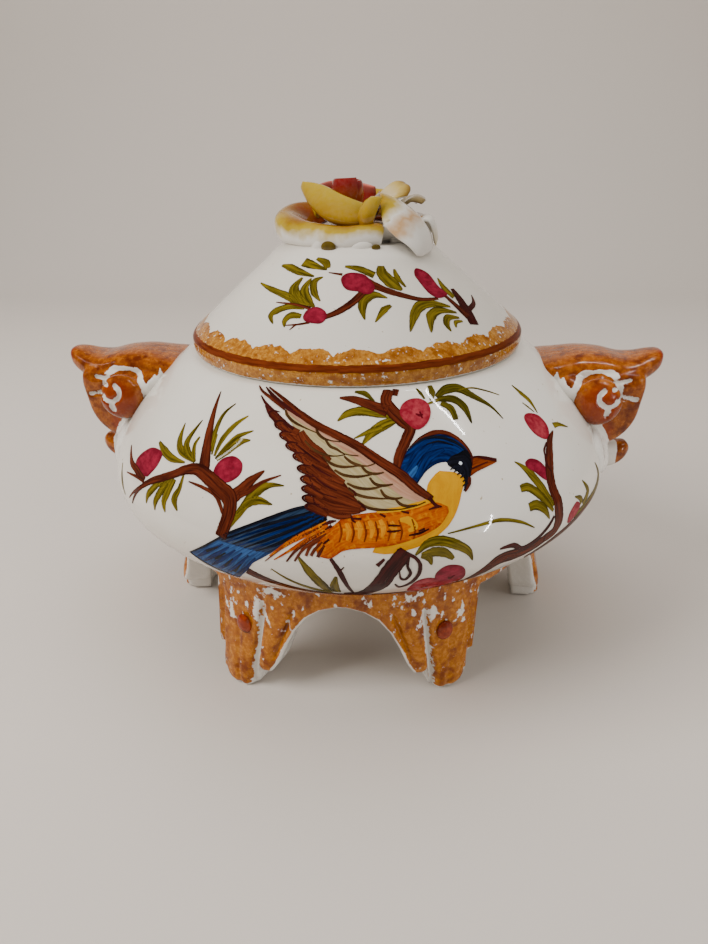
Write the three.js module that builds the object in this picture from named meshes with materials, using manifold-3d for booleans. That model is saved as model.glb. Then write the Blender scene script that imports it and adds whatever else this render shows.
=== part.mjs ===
// A lidded tureen on six leaf feet, with two scroll handles and a rose for a lid knob.
// Millimetres, +Z up, front towards -Y. The origin is on the table, under the centre of the bowl.
import * as THREE from 'three';
import { mergeVertices } from 'three/addons/utils/BufferGeometryUtils.js';
import Module from 'manifold-3d';

const wasm = await Module();
wasm.setup();

// Driving dimensions
const GAP = 0.3; // clearance between neighbouring pieces
const AROUND = 48; // facets round the bowl and the lid
const WALL = 6; // thickness of the bowl and the lid

const FLOOR_HEIGHT = 55; // underside of the bowl
const FLOOR_RADIUS = 84;
const BELLY_RADIUS = 134.5; // widest ring of the bowl
const BELLY_HEIGHT = 98;
const RIM_HEIGHT = 159.5; // flat rim that the lid rests on
const RIM_RADIUS = 89;
const MOUTH_RADIUS = 76;

const LID_RADIUS = 87;
const LID_BAND_TOP = 168.5; // top of the lid's upright edge
const LID_TOP = 212; // flat seat of the rose
const LID_SEAT_RADIUS = 34;
const FLANGE_RADIUS = 73.5; // ring under the lid that drops into the mouth
const FLANGE_DEPTH = 7;

const FOOT_TOP_RADIUS = 103; // outer face where the feet meet the bowl
const FOOT_THICKNESS = 15;
const FOOT_HALF_ANGLE = 6; // half the width of a toe, in degrees
const RING_HEIGHT = 55; // underside of the ring that joins the feet
const LOBE_HEIGHT = 14; // the short lobe beside each toe ends this high
const BEAD_HEIGHT = 37.5;
const BEAD_SIZE = { across: 4.4, high: 5.8, proud: 2.6 };

const ROSE_BASE_TOP = 219;
const PETAL_THICKNESS = 2.2;

// Colours
const IVORY = { color: 0xf1efe8, roughness: 0.12 };
const OCHRE = { color: 0xb5701f, roughness: 0.2 };
const RUST = { color: 0x9a3412, roughness: 0.15 };
const YELLOW = { color: 0xe6b422, roughness: 0.15 };
const RED = { color: 0xb23a25, roughness: 0.15 };

const vec2 = (x, y) => new THREE.Vector2(x, y);
const radians = THREE.MathUtils.degToRad;

// A point at a turn round the axis from the front, in degrees, a radius and a height.
function polar(turn, radius, height) {
  return new THREE.Vector3(radius * Math.sin(radians(turn)), -radius * Math.cos(radians(turn)), height);
}

// Welds shared corners, drops triangles with no area and turns the faces outwards.
function weld(geometry) {
  const bare = geometry.clone();
  bare.deleteAttribute('normal');
  bare.deleteAttribute('uv');
  const welded = mergeVertices(bare, 1e-3);
  const at = (i) => new THREE.Vector3().fromBufferAttribute(welded.getAttribute('position'), i);
  const corners = welded.getIndex().array;
  const triangles = [];
  let volume = 0;
  for (let i = 0; i < corners.length; i += 3) {
    const [a, b, c] = corners.slice(i, i + 3);
    if (a === b || b === c || c === a) continue;
    triangles.push([a, b, c]);
    volume += at(a).dot(at(b).cross(at(c)));
  }
  if (volume < 0) triangles.forEach((triangle) => triangle.reverse());
  welded.setIndex(triangles.flat());
  return welded;
}

function toSolid(geometry) {
  const welded = weld(geometry);
  const vertProperties = new Float32Array(welded.getAttribute('position').array);
  const triVerts = new Uint32Array(welded.getIndex().array);
  return new wasm.Manifold(new wasm.Mesh({ numProp: 3, vertProperties, triVerts }));
}

function toGeometry(solid) {
  const { vertProperties, triVerts } = solid.getMesh();
  const geometry = new THREE.BufferGeometry();
  geometry.setAttribute('position', new THREE.BufferAttribute(vertProperties, 3));
  geometry.setIndex(new THREE.BufferAttribute(triVerts, 1));
  return geometry;
}

// The largest single body of a solid that a cut may have left in several.
function largest(solid) {
  return solid.decompose().sort((a, b) => b.volume() - a.volume())[0];
}

// Turns a closed outline of radius and height round the Z axis.
function revolve(outline, facets = AROUND) {
  return weld(new THREE.LatheGeometry([...outline, outline[0]], facets).rotateX(Math.PI / 2));
}

// Skins a row of rings with equal point counts and closes both ends. Each ring runs out along
// one side and back along the other, so that its ends pair up across it.
function loft(rings) {
  const count = rings[0].length;
  const index = [];
  const quad = (a, b, c, d) => index.push(a, b, c, a, c, d);
  for (let ring = 0; ring + 1 < rings.length; ring++) {
    for (let i = 0; i < count; i++) {
      const next = (i + 1) % count;
      quad(ring * count + i, ring * count + next, (ring + 1) * count + next, (ring + 1) * count + i);
    }
  }
  const last = (rings.length - 1) * count;
  for (let i = 0; i + 1 < count / 2; i++) {
    const across = count - 1 - i;
    quad(i, across, across - 1, i + 1);
    quad(last + i, last + i + 1, last + across - 1, last + across);
  }
  const geometry = new THREE.BufferGeometry();
  const positions = rings.flat().flatMap((point) => point.toArray());
  geometry.setAttribute('position', new THREE.Float32BufferAttribute(positions, 3));
  geometry.setIndex(index);
  return weld(geometry);
}

// Points of a spline through the given ones.
const spline = (points, steps) => new THREE.SplineCurve(points).getPoints(steps);

// The outline moved sideways by a distance, to its left as it runs.
function offset(outline, distance) {
  return outline.map((point, i) => {
    const before = outline[Math.max(i - 1, 0)];
    const after = outline[Math.min(i + 1, outline.length - 1)];
    const along = after.clone().sub(before).normalize();
    return vec2(point.x - along.y * distance, point.y + along.x * distance);
  });
}

// Bowl
const SHOULDER = spline([
  vec2(FLOOR_RADIUS, FLOOR_HEIGHT), vec2(98, 60.5), vec2(111, 68.5), vec2(123, 78), vec2(131.5, 88),
  vec2(BELLY_RADIUS, BELLY_HEIGHT), vec2(133, 108), vec2(127.5, 119), vec2(119.5, 130.5),
  vec2(110, 141), vec2(100, 150.5), vec2(RIM_RADIUS, RIM_HEIGHT),
], 18);

function bowlBody() {
  const inside = offset(SHOULDER.slice(1, -2), WALL).reverse();
  return revolve([
    vec2(0, FLOOR_HEIGHT), ...SHOULDER, vec2(MOUTH_RADIUS, RIM_HEIGHT), vec2(MOUTH_RADIUS, RIM_HEIGHT - 8),
    ...inside, vec2(0, FLOOR_HEIGHT + WALL),
  ]);
}

// The bowl filled in, with its clearance, to cut what is luted on to it.
function bowlCutter() {
  const skin = offset(SHOULDER, -GAP);
  return toSolid(revolve([vec2(0, FLOOR_HEIGHT - GAP), ...skin, vec2(0, RIM_HEIGHT + GAP)]));
}

// Lid
const CROWN = spline([
  vec2(LID_RADIUS - 0.5, 161.5), vec2(LID_RADIUS, 165), vec2(LID_RADIUS - 1, LID_BAND_TOP), vec2(80, 174),
  vec2(70, 183), vec2(58, 193.3), vec2(47, 202.5), vec2(41, 208), vec2(LID_SEAT_RADIUS, LID_TOP),
], 12);

const LID_BOTTOM = RIM_HEIGHT + GAP;
const RING_INNER_RADIUS = FLANGE_RADIUS - 5.5;

function lid() {
  const inside = offset(CROWN.slice(5), WALL).reverse();
  return revolve([
    vec2(LID_RADIUS - 1.5, LID_BOTTOM), ...CROWN, vec2(0, LID_TOP), vec2(0, LID_TOP - WALL), ...inside,
    vec2(RING_INNER_RADIUS, LID_BOTTOM + WALL), vec2(RING_INNER_RADIUS, LID_BOTTOM),
  ]);
}

// The ring under the lid that drops into the mouth.
function lidRing() {
  const top = LID_BOTTOM - GAP;
  return revolve([
    vec2(RING_INNER_RADIUS, top - FLANGE_DEPTH), vec2(FLANGE_RADIUS, top - FLANGE_DEPTH),
    vec2(FLANGE_RADIUS, top), vec2(RING_INNER_RADIUS, top),
  ]);
}

// The lid filled in, with its clearance, to cut the petals that hang over its crown.
function lidCutter() {
  const skin = offset(CROWN, -GAP);
  return toSolid(revolve([vec2(0, RIM_HEIGHT), vec2(LID_RADIUS, RIM_HEIGHT), ...skin, vec2(0, LID_TOP + GAP)]));
}

// Feet
// The outer face of a foot leans out to the radius of its toe.
const footFace = (height, toe) => THREE.MathUtils.mapLinear(height, 0, RING_HEIGHT, toe, FOOT_TOP_RADIUS);

function footRing() {
  const band = [
    vec2(FOOT_TOP_RADIUS - FOOT_THICKNESS, RING_HEIGHT), vec2(FOOT_TOP_RADIUS, RING_HEIGHT),
    vec2(FOOT_TOP_RADIUS, 70), vec2(FOOT_TOP_RADIUS - FOOT_THICKNESS, 70),
  ];
  return toGeometry(toSolid(revolve(band)).subtract(bowlCutter()));
}

// The lower edge of a foot: angle from its middle, in degrees, and height. The toe is flat on
// the table, and the side with the arch has a short lobe and flares up to the ring.
function footEdge(flare) {
  const side = FOOT_HALF_ANGLE;
  const arch = [[side + 0.4, LOBE_HEIGHT], [side + 5, LOBE_HEIGHT], [side + 7, 22], [side + 10.4, 35],
    [side + 15, 47], [side + 19, 53]];
  const upright = [[side + 0.8, LOBE_HEIGHT], [side + 2.5, LOBE_HEIGHT + 2], [side + 3.4, 40], [side + 4.2, 53]];
  const toe = [[-side, 3], [-side + 2, 0], [side - 2, 0], [side, 3]];
  const mirrored = (edge) => edge.map(([angle, height]) => [-angle, height]).reverse();
  return [...mirrored(flare < 0 ? arch : upright), ...toe, ...(flare > 0 ? arch : upright)];
}

function foot({ turn, flare, toe }) {
  const top = RING_HEIGHT - GAP;
  const rows = [0, 0.5, 1];
  const rings = footEdge(flare).map(([angle, bottom]) => {
    const column = (depth) => rows.map((row) => {
      const height = THREE.MathUtils.lerp(bottom, top, row);
      return polar(turn + angle, footFace(height, toe) - depth, height);
    });
    return [...column(0), ...column(FOOT_THICKNESS).reverse()];
  });
  return loft(rings);
}

// A dome with a flat back that sits on the foot's outer face.
function bead({ turn, toe }) {
  const domes = [[1, 0], [1, 0.25], [0.85, 0.62], [0.5, 0.92], [0.15, 1]];
  const rings = domes.map(([scale, lift]) => [...Array(12).keys()].map((i) => {
    const angle = radians(15 + 30 * i);
    const across = THREE.MathUtils.radToDeg(BEAD_SIZE.across * scale * Math.cos(angle) / toe);
    const height = BEAD_HEIGHT + BEAD_SIZE.high * scale * Math.sin(angle);
    return polar(turn + across, footFace(height, toe) + GAP + BEAD_SIZE.proud * lift, height);
  }));
  return loft(rings);
}

// Handles, drawn for the right side. Stations run outwards along the top bar: distance from the
// axis, height of the middle, half height and half depth.
const BAR = [
  [89.5, 150, 2.4, 9], [97, 148.5, 5, 13], [108, 147, 7, 16], [120, 146.7, 8, 17], [131, 146.2, 8, 17],
  [141, 145.4, 7.8, 16], [149, 146, 7.6, 14], [156, 147.8, 7, 11], [160.5, 149.8, 5.2, 7.5], [162.6, 151, 2, 3],
];
const NUB = [[133, 95, 6.5, 8], [140, 96, 7, 7.5], [146, 98, 7.5, 7], [150, 99, 5.5, 5.5], [152.4, 99.5, 2, 2.5]];
const SCROLL = [[137, 112.5], [143.5, 116.5], [148, 123], [150, 132], [151.5, 141], [148, 146.5], [132, 147],
  [121, 144], [116, 139.5], [113.8, 132], [115.5, 125.5], [120, 120.5], [128, 115.5]];
const SCROLL_DEPTH = 42;
const ROOT_SPREAD = 20; // half the width of the leaf where the handle grows out of the bowl, in degrees
const ROOT_HEIGHT = 127;
const ROOT_REACH = 21; // from the middle of the leaf to its upper and lower edges
const ROOT_THICKNESS = 6;

// A limb with rounded sections along +X, larger all round by grow.
function limb(stations, grow = 0) {
  const sides = 14;
  return loft(stations.map(([x, middle, high, deep], i) => {
    const ends = i === 0 ? -grow : (i === stations.length - 1 ? grow : 0);
    return [...Array(sides).keys()].map((side) => {
      const angle = ((side + 0.5) / sides) * Math.PI * 2;
      const rounded = (value) => Math.sign(value) * Math.abs(value) ** 0.7;
      const y = (deep + grow) * rounded(Math.cos(angle));
      return new THREE.Vector3(x + ends, y, middle + (high + grow) * rounded(Math.sin(angle)));
    });
  }));
}

// A plate standing in the plane of the handle, with a smooth outline through the given points.
function plate(outline, depth, grow = 0) {
  const corners = outline.map(([x, z]) => new THREE.Vector3(x, z, 0));
  const edge = new THREE.CatmullRomCurve3(corners, true).getPoints(30).slice(0, -1);
  const grown = edge.map((point, i) => {
    const before = edge.at(i - 1);
    const after = edge[(i + 1) % edge.length];
    const along = after.clone().sub(before).normalize();
    return vec2(point.x + along.y * grow, point.y - along.x * grow);
  });
  const solid = new THREE.ExtrudeGeometry(new THREE.Shape(grown), { depth: depth + 2 * grow, bevelEnabled: false });
  return weld(solid.translate(0, 0, -depth / 2 - grow).rotateX(Math.PI / 2));
}

// The bowl's radius at a height between its widest part and its rim.
function shoulderRadius(height) {
  const above = SHOULDER.findIndex((point) => point.y >= height && point.y > BELLY_HEIGHT);
  const [lower, upper] = [SHOULDER[above - 1], SHOULDER[above]];
  return THREE.MathUtils.mapLinear(height, lower.y, upper.y, lower.x, upper.x);
}

// An oval leaf that lies on the bowl's shoulder, thickest in its middle.
function root() {
  const columns = [...Array(11).keys()].map((i) => i / 5 - 1);
  return loft(columns.map((column) => {
    const reach = Math.sqrt(1 - 0.8 * column ** 2);
    const line = [...Array(7).keys()].map((i) => {
      const height = ROOT_HEIGHT + ROOT_REACH * reach * (i / 3 - 1);
      return vec2(shoulderRadius(height), height);
    });
    const thickness = ROOT_THICKNESS * (1 - 0.8 * column ** 2);
    const skin = (lift) => offset(line, -lift).map(({ x, y }) => polar(90 + ROOT_SPREAD * column, x, y));
    return [...skin(GAP + 0.1), ...skin(GAP + thickness).reverse()];
  }));
}

// Each piece is cut clear of the bowl and of the pieces placed before it.
function handle(side) {
  const bowl = bowlCutter();
  const bar = toSolid(limb(BAR)).subtract(bowl);
  const barRoom = toSolid(limb(BAR, GAP));
  const scroll = largest(toSolid(plate(SCROLL, SCROLL_DEPTH)).subtract(bowl).subtract(barRoom));
  const scrollRoom = toSolid(plate(SCROLL, SCROLL_DEPTH, GAP));
  const nub = toSolid(limb(NUB)).subtract(bowl).subtract(scrollRoom);
  const nubRoom = toSolid(limb(NUB, GAP));
  const leaf = toSolid(root()).subtract(bowl).subtract(barRoom).subtract(scrollRoom).subtract(nubRoom);
  return Object.entries({ bar, scroll, nub, root: leaf }).map(([piece, solid]) => {
    const body = largest(solid);
    return [piece, toGeometry(side < 0 ? body.mirror([1, 0, 0]) : body)];
  });
}

// Rose. A petal is a curved shell: its middle line runs through three points of radius and
// height, it spreads by an angle to each side of its turn, and its edges rise by lift.
const PETALS = {
  petal_inner_1: { turn: 20, spread: 75, line: [[6.5, 221.5], [10, 230], [8.5, 238]], lift: -2 },
  petal_inner_2: { turn: 140, spread: 75, line: [[9.4, 221.5], [13, 229], [11.5, 237]], lift: -2 },
  petal_inner_3: { turn: -100, spread: 75, line: [[12.3, 221.5], [16, 229], [15, 237.5]], lift: -3 },
  petal_middle_1: { turn: -25, spread: 62, line: [[15.5, 221.5], [21, 223], [24, 229]], lift: 5 },
  petal_middle_2: { turn: 80, spread: 42, line: [[17, 222], [22, 228], [30, 236]], lift: 2 },
  petal_middle_3: { turn: 165, spread: 50, line: [[18.5, 221.5], [24, 226], [28, 233]], lift: 1 },
  petal_middle_4: { turn: -115, spread: 42, line: [[19.5, 221.5], [25, 224], [29, 231]], lift: 1 },
  petal_outer_1: { turn: -70, spread: 46, line: [[24, 215], [33, 219], [39, 221.5]], lift: 0 },
  petal_outer_2: { turn: -8, spread: 42, line: [[25, 214], [32, 218], [38, 215]], lift: 0 },
  petal_outer_3: { turn: 48, spread: 34, line: [[20, 227], [32, 224], [41, 208.5]], lift: -1 },
  petal_outer_4: { turn: 95, spread: 36, line: [[24, 219], [35, 219], [42, 210.5]], lift: 0 },
  petal_outer_5: { turn: 140, spread: 34, line: [[25, 220], [34, 226], [40, 219]], lift: 0 },
  petal_outer_6: { turn: -155, spread: 46, line: [[25, 214], [33, 219], [39, 219]], lift: 0 },
};

function petal({ turn, spread, line, lift }, grow = 0) {
  const path = new THREE.QuadraticBezierCurve(...line.map(([radius, height]) => vec2(radius, height)));
  const columns = [...Array(9).keys()].map((i) => i / 4 - 1);
  const rows = [...Array(6).keys()].map((i) => i / 5);
  return loft(rows.map((along) => {
    const point = path.getPoint(along);
    const tangent = path.getTangent(along);
    const reach = along === 0 ? -grow : (along === 1 ? grow : 0);
    const middle = point.clone().addScaledVector(tangent, reach);
    const width = spread * (0.72 + 0.28 * Math.sin(Math.PI * (0.2 + 0.6 * along)));
    const skin = (side) => columns.map((column) => {
      const half = PETAL_THICKNESS / 2 * (1 - 0.35 * along) + grow;
      const edge = Math.abs(column) === 1 ? grow * 57 / middle.x * column : 0;
      const pulled = along * 4 * column ** 4;
      const radius = middle.x - side * half * tangent.y - pulled * tangent.x;
      const height = middle.y + side * half * tangent.x - pulled * tangent.y + lift * along * column ** 2;
      return polar(turn + width * column + edge, radius, height);
    });
    return [...skin(1), ...skin(-1).reverse()];
  }));
}

function rose() {
  const base = revolve([vec2(0, LID_TOP + GAP), vec2(22, LID_TOP + GAP), vec2(23, 215), vec2(21, 218),
    vec2(15, ROSE_BASE_TOP), vec2(0, ROSE_BASE_TOP)], 24);
  const room = new THREE.CylinderGeometry(23.5, 23.5, ROSE_BASE_TOP + GAP - LID_TOP, 24).rotateX(Math.PI / 2)
    .translate(0, 0, (ROSE_BASE_TOP + GAP + LID_TOP) / 2);
  const bud = revolve([vec2(0, 220), vec2(4.5, 220), vec2(6.5, 226), vec2(7, 233), vec2(6, 239), vec2(3, 241.3),
    vec2(0, 241.6)], 20);
  const budRoom = revolve([vec2(0, 219.7), vec2(4.8, 219.7), vec2(6.8, 226), vec2(7.3, 233), vec2(6.3, 239.2),
    vec2(3.1, 241.6), vec2(0, 242)], 20);
  let taken = lidCutter().add(toSolid(room)).add(toSolid(budRoom));
  const pieces = [['rose_base', base], ['rose_bud', bud]];
  for (const [name, shape] of Object.entries(PETALS)) {
    pieces.push([name, toGeometry(largest(toSolid(petal(shape)).subtract(taken)))]);
    taken = taken.add(toSolid(petal(shape, GAP)));
  }
  return pieces;
}

const tureen = new THREE.Group();

function place(name, geometry, finish) {
  const material = new THREE.MeshStandardMaterial({ ...finish, metalness: 0 });
  const mesh = new THREE.Mesh(geometry, material);
  mesh.name = name;
  tureen.add(mesh);
}

place('bowl_body', bowlBody(), IVORY);
place('lid', lid(), IVORY);
place('lid_ring', lidRing(), IVORY);
place('foot_ring', footRing(), OCHRE);

// Where each foot stands, which side of it carries the lobe and the arch, and the radius of its
// toe. The ring of feet is built by hand and stands a little out of round.
const FEET = {
  front_left: { turn: -31, flare: 1, toe: 110 },
  front_right: { turn: 30, flare: -1, toe: 104 },
  side_right: { turn: 91, flare: -1, toe: 109 },
  back_right: { turn: 150, flare: 1, toe: 107 },
  back_left: { turn: -150, flare: -1, toe: 107 },
  side_left: { turn: -89, flare: 1, toe: 111 },
};
for (const [name, stance] of Object.entries(FEET)) {
  place(`foot_${name}`, foot(stance), OCHRE);
  place(`bead_${name}`, bead(stance), RUST);
}

for (const [word, side] of [['left', -1], ['right', 1]]) {
  for (const [piece, geometry] of handle(side)) {
    place(`handle_${word}_${piece}`, geometry, piece === 'root' ? IVORY : OCHRE);
  }
}

for (const [name, geometry] of rose()) {
  const inner = name === 'rose_bud' || name.includes('inner');
  const middle = name.includes('middle');
  place(name, geometry, inner ? RED : (middle ? YELLOW : IVORY));
}

export default tureen;
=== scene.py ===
"""The looks of the lidded tureen: glazed meshes and hand-painted decoration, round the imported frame."""
import math
import random

import bmesh
import bpy
import numpy as np
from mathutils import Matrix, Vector


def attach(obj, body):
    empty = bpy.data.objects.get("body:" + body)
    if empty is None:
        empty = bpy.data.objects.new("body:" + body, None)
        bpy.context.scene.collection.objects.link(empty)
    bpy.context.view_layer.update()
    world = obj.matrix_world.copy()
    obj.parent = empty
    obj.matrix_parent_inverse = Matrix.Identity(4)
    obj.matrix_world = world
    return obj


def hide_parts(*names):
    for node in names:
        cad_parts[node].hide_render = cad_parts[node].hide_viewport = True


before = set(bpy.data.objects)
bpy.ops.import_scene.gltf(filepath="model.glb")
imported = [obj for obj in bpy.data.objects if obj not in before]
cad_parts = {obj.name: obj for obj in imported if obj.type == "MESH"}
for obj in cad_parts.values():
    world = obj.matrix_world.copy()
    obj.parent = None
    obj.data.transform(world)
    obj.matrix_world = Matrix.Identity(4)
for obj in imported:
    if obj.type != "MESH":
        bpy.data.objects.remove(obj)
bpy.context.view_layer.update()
MM = 0.001

# ---------------------------------------------------------------- geometry of the glazed bodies

def spline(points, steps):
    """A uniform Catmull-Rom curve through the points, with the ends doubled."""
    p = np.array(points, float)
    p = np.vstack([p[0], p, p[-1]])
    out = []
    for k in range(1, len(p) - 2):
        a, b, c, d = p[k - 1:k + 3]
        for t in np.linspace(0, 1, steps, endpoint=False):
            out.append(0.5 * (2 * b + (c - a) * t + (2 * a - 5 * b + 4 * c - d) * t ** 2
                              + (3 * b - 3 * c + d - a) * t ** 3))
    out.append(p[-2])
    return np.array(out)


# Outlines in millimetres, radius and height, the same as the frame's but for the lid's first point.
BOWL_SIDE = spline([(84, 55), (98, 60.5), (111, 68.5), (123, 78), (131.5, 88), (134.5, 98), (133, 108),
                    (127.5, 119), (119.5, 130.5), (110, 141), (100, 150.5), (89, 159.5)], 10)
LID_SIDE = spline([(85.9, 160.3), (86.5, 161.5), (87, 165), (86, 168.5), (80, 174), (70, 183), (58, 193.3),
                   (47, 202.5), (41, 208),
                   (34, 212)], 12)
WALL = 6


def sideways(line, distance):
    """The line moved to its left as it runs."""
    along = np.gradient(line, axis=0)
    along /= np.linalg.norm(along, axis=1)[:, None]
    return line + distance * np.column_stack([-along[:, 1], along[:, 0]])


BUILT = []


def link(name, mesh):
    piece = bpy.data.objects.new(name, mesh)
    bpy.context.scene.collection.objects.link(piece)
    BUILT.append(piece.name)
    return piece


def build(name, points, faces):
    """An object from points in millimetres."""
    mesh = bpy.data.meshes.new(name)
    mesh.from_pydata([tuple(p * MM) for p in np.asarray(points, float)], [], faces)
    mesh.validate()
    mesh.update()
    for face in mesh.polygons:
        face.use_smooth = True
    return link(name, mesh)


def face_outwards(piece):
    work = bmesh.new()
    work.from_mesh(piece.data)
    bmesh.ops.recalc_face_normals(work, faces=work.faces)
    work.to_mesh(piece.data)
    work.free()


def revolve(name, outline, around=256):
    """Turns an outline that starts and ends on the axis round Z."""
    outline = np.asarray(outline, float)
    angles = np.arange(around) * 2 * math.pi / around
    inner = outline[1:-1]
    points = [(0, 0, outline[0][1])]
    for radius, height in inner:
        points += [(radius * math.sin(a), -radius * math.cos(a), height) for a in angles]
    points.append((0, 0, outline[-1][1]))
    faces = []
    last = len(points) - 1
    for i in range(around):
        j = (i + 1) % around
        faces.append((0, 1 + i, 1 + j))
        for row in range(len(inner) - 1):
            base = 1 + row * around
            faces.append((base + i, base + around + i, base + around + j, base + j))
        base = 1 + (len(inner) - 1) * around
        faces.append((last, base + j, base + i))
    piece = build(name, points, faces)
    face_outwards(piece)
    piece.data.set_sharp_from_angle(angle=math.radians(50))
    return piece


# ---------------------------------------------------------------- brushwork on the glazed bodies

BRUSH = random.Random(7)


class Side:
    """The outer face of the bowl or of the lid, reached by azimuth in degrees and height."""

    def __init__(self, line):
        self.radius, self.height = np.asarray(line).T
        self.slope = np.gradient(self.radius) / np.gradient(self.height)

    def scale(self, height):
        """Millimetres along the face for each degree of azimuth and each millimetre of height."""
        slope = np.interp(height, self.height, self.slope)
        radius = np.interp(height, self.height, self.radius)
        return np.column_stack([radius * math.pi / 180, np.sqrt(1 + slope ** 2)])

    def lift(self, places, lift):
        """Points that stand off the face by lift."""
        azimuth, height = np.radians(places[:, 0]), np.clip(places[:, 1], self.height[0], self.height[-1])
        slope = np.interp(height, self.height, self.slope)
        radius = np.interp(height, self.height, self.radius) + lift / np.sqrt(1 + slope ** 2)
        return np.column_stack([radius * np.sin(azimuth), -radius * np.cos(azimuth),
                                height - lift * slope / np.sqrt(1 + slope ** 2)])


class Canvas:
    """One painted motif. Its strokes of one colour are one piece: thin closed slabs of glaze colour."""
    DEPTH = 0.25

    def __init__(self, name, side, body, turn=0, flip=1):
        self.name, self.side, self.body, self.turn, self.flip = name, side, body, turn, flip
        self.work = {}

    def slab(self, paint, places, faces, flow, edge, lift):
        places = np.array(places, float)
        places[:, 0] = self.turn + self.flip * places[:, 0]
        points, sides, flows, edges = self.work.setdefault(paint, ([], [], [], []))
        base, count = sum(len(p) for p in points), len(places)
        points += [self.side.lift(places, lift), self.side.lift(places, -self.DEPTH)]
        rims = {}
        for face in faces:
            for pair in zip(face, face[1:] + face[:1]):
                rims[tuple(sorted(pair))] = None if tuple(sorted(pair)) in rims else pair
        turn = (lambda face: face) if self.flip > 0 else (lambda face: face[::-1])
        for face in faces:
            sides.append(turn([base + i for i in face]))
            sides.append(turn([base + count + i for i in face[::-1]]))
        for pair in filter(None, rims.values()):
            a, b = pair
            sides.append(turn([base + b, base + a, base + count + a, base + count + b]))
        tone = BRUSH.random()
        flows += [(*pair, tone) for pair in flow] * 2
        edges += list(edge) * 2

    def weave(self, paint, rows, lift):
        """A slab through rows of places, each row running across the stroke from left to right."""
        rows = np.asarray(rows, float)
        long, wide = rows.shape[:2]
        middle = rows[:, wide // 2]
        steps = np.diff(middle, axis=0) * self.side.scale(middle[:-1, 1])
        along = np.concatenate([[0], np.cumsum(np.linalg.norm(steps, axis=1))])
        spans = (rows - middle[:, None]) * self.side.scale(middle[:, 1])[:, None]
        across = np.linalg.norm(spans, axis=2) * np.sign(np.arange(wide) - wide // 2)
        flow = [(along[i], across[i, j]) for i in range(long) for j in range(wide)]
        share = np.abs(np.linspace(-1, 1, wide))
        ends = np.abs(np.linspace(-1, 1, long)) ** 6
        edge = [max(share[j], ends[i]) for i in range(long) for j in range(wide)]
        faces = [[i * wide + j, i * wide + j + 1, (i + 1) * wide + j + 1, (i + 1) * wide + j]
                 for i in range(long - 1) for j in range(wide - 1)]
        self.slab(paint, rows.reshape(-1, 2), faces, flow, edge, lift)

    def stroke(self, paint, places, widths, lift=0.12, wide=5):
        """A brush stroke along the places, with its width at each of them."""
        path = spline(places, 8)
        width = np.interp(np.linspace(0, len(places) - 1, len(path)), range(len(widths)), widths)
        wobble = [1 + 0.05 * BRUSH.uniform(-1, 1) for _ in path]
        scale = self.side.scale(path[:, 1])
        along = np.gradient(path, axis=0) * scale
        along /= np.linalg.norm(along, axis=1)[:, None] + 1e-9
        normal = np.column_stack([-along[:, 1], along[:, 0]]) / scale
        reach = (width * wobble / 2)[:, None, None] * np.linspace(-1, 1, wide)[None, :, None]
        self.weave(paint, path[:, None] + normal[:, None] * reach, lift)

    def patch(self, paint, left, right, lift=0.1, wide=13):
        """A filled shape between two edges that start and end together."""
        share = np.linspace(0, 1, 41)
        rails = []
        for edge in (left, right):
            curve = spline(edge, 12)
            steps = np.linalg.norm(np.diff(curve, axis=0) * self.side.scale(curve[:-1, 1]), axis=1)
            distance = np.concatenate([[0], np.cumsum(steps)]) / steps.sum()
            rails.append(np.column_stack([np.interp(share, distance, curve[:, k]) for k in (0, 1)]))
        mix = np.linspace(0, 1, wide)[None, :, None]
        self.weave(paint, rails[0][:, None] * (1 - mix) + rails[1][:, None] * mix, lift)

    def blob(self, paint, outline, lift=0.14, rings=6):
        """A filled closed outline, such as a berry."""
        steps = 6
        closed = spline([*outline[-2:], *outline, *outline[:2]], steps)
        edge_line = closed[2 * steps:(len(outline) + 2) * steps]
        centre = edge_line.mean(axis=0)
        places, flow, edge = [centre], [(0, 0)], [0]
        scale = self.side.scale(np.array([centre[1]]))[0]
        for ring in range(1, rings + 1):
            share = ring / rings
            for place in centre + (edge_line - centre) * share:
                places.append(place)
                flow.append(tuple((place - centre) * scale))
                edge.append(share)
        count = len(edge_line)
        area = np.cross(edge_line - centre, np.roll(edge_line, -1, axis=0) - centre).sum()
        order = (lambda face: face) if area > 0 else (lambda face: face[::-1])
        faces = [order([0, 1 + i, 1 + (i + 1) % count]) for i in range(count)]
        for ring in range(rings - 1):
            base = 1 + ring * count
            faces += [order([base + i, base + count + i, base + count + (i + 1) % count,
                             base + (i + 1) % count])
                      for i in range(count)]
        self.slab(paint, places, faces, flow, edge, lift)

    def finish(self):
        for paint, (points, faces, flows, edges) in self.work.items():
            piece = build(f"{self.name}_{paint}", np.vstack(points), faces)
            flow = piece.data.attributes.new("flow", "FLOAT_VECTOR", "POINT")
            flow.data.foreach_set("vector", np.array(flows, np.float32).ravel())
            edge = piece.data.attributes.new("edge", "FLOAT", "POINT")
            edge.data.foreach_set("value", np.array(edges, np.float32))
            piece.data.set_sharp_from_angle(angle=math.radians(40))
            face_outwards(piece)
            piece.data.materials.append(PAINTS[paint])
            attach(piece, self.body)


# ---------------------------------------------------------------- materials

def material(name):
    shader = bpy.data.materials.new(name)
    shader.use_nodes = True
    nodes = shader.node_tree.nodes
    return shader, nodes, shader.node_tree.links, nodes["Principled BSDF"]


def glossy(principled, roughness, coat=0.7):
    principled.inputs["Roughness"].default_value = roughness
    principled.inputs["Specular IOR Level"].default_value = 0.1 if coat > 0.5 else 0
    principled.inputs["Coat Weight"].default_value = coat
    principled.inputs["Coat Roughness"].default_value = 0.03


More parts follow.
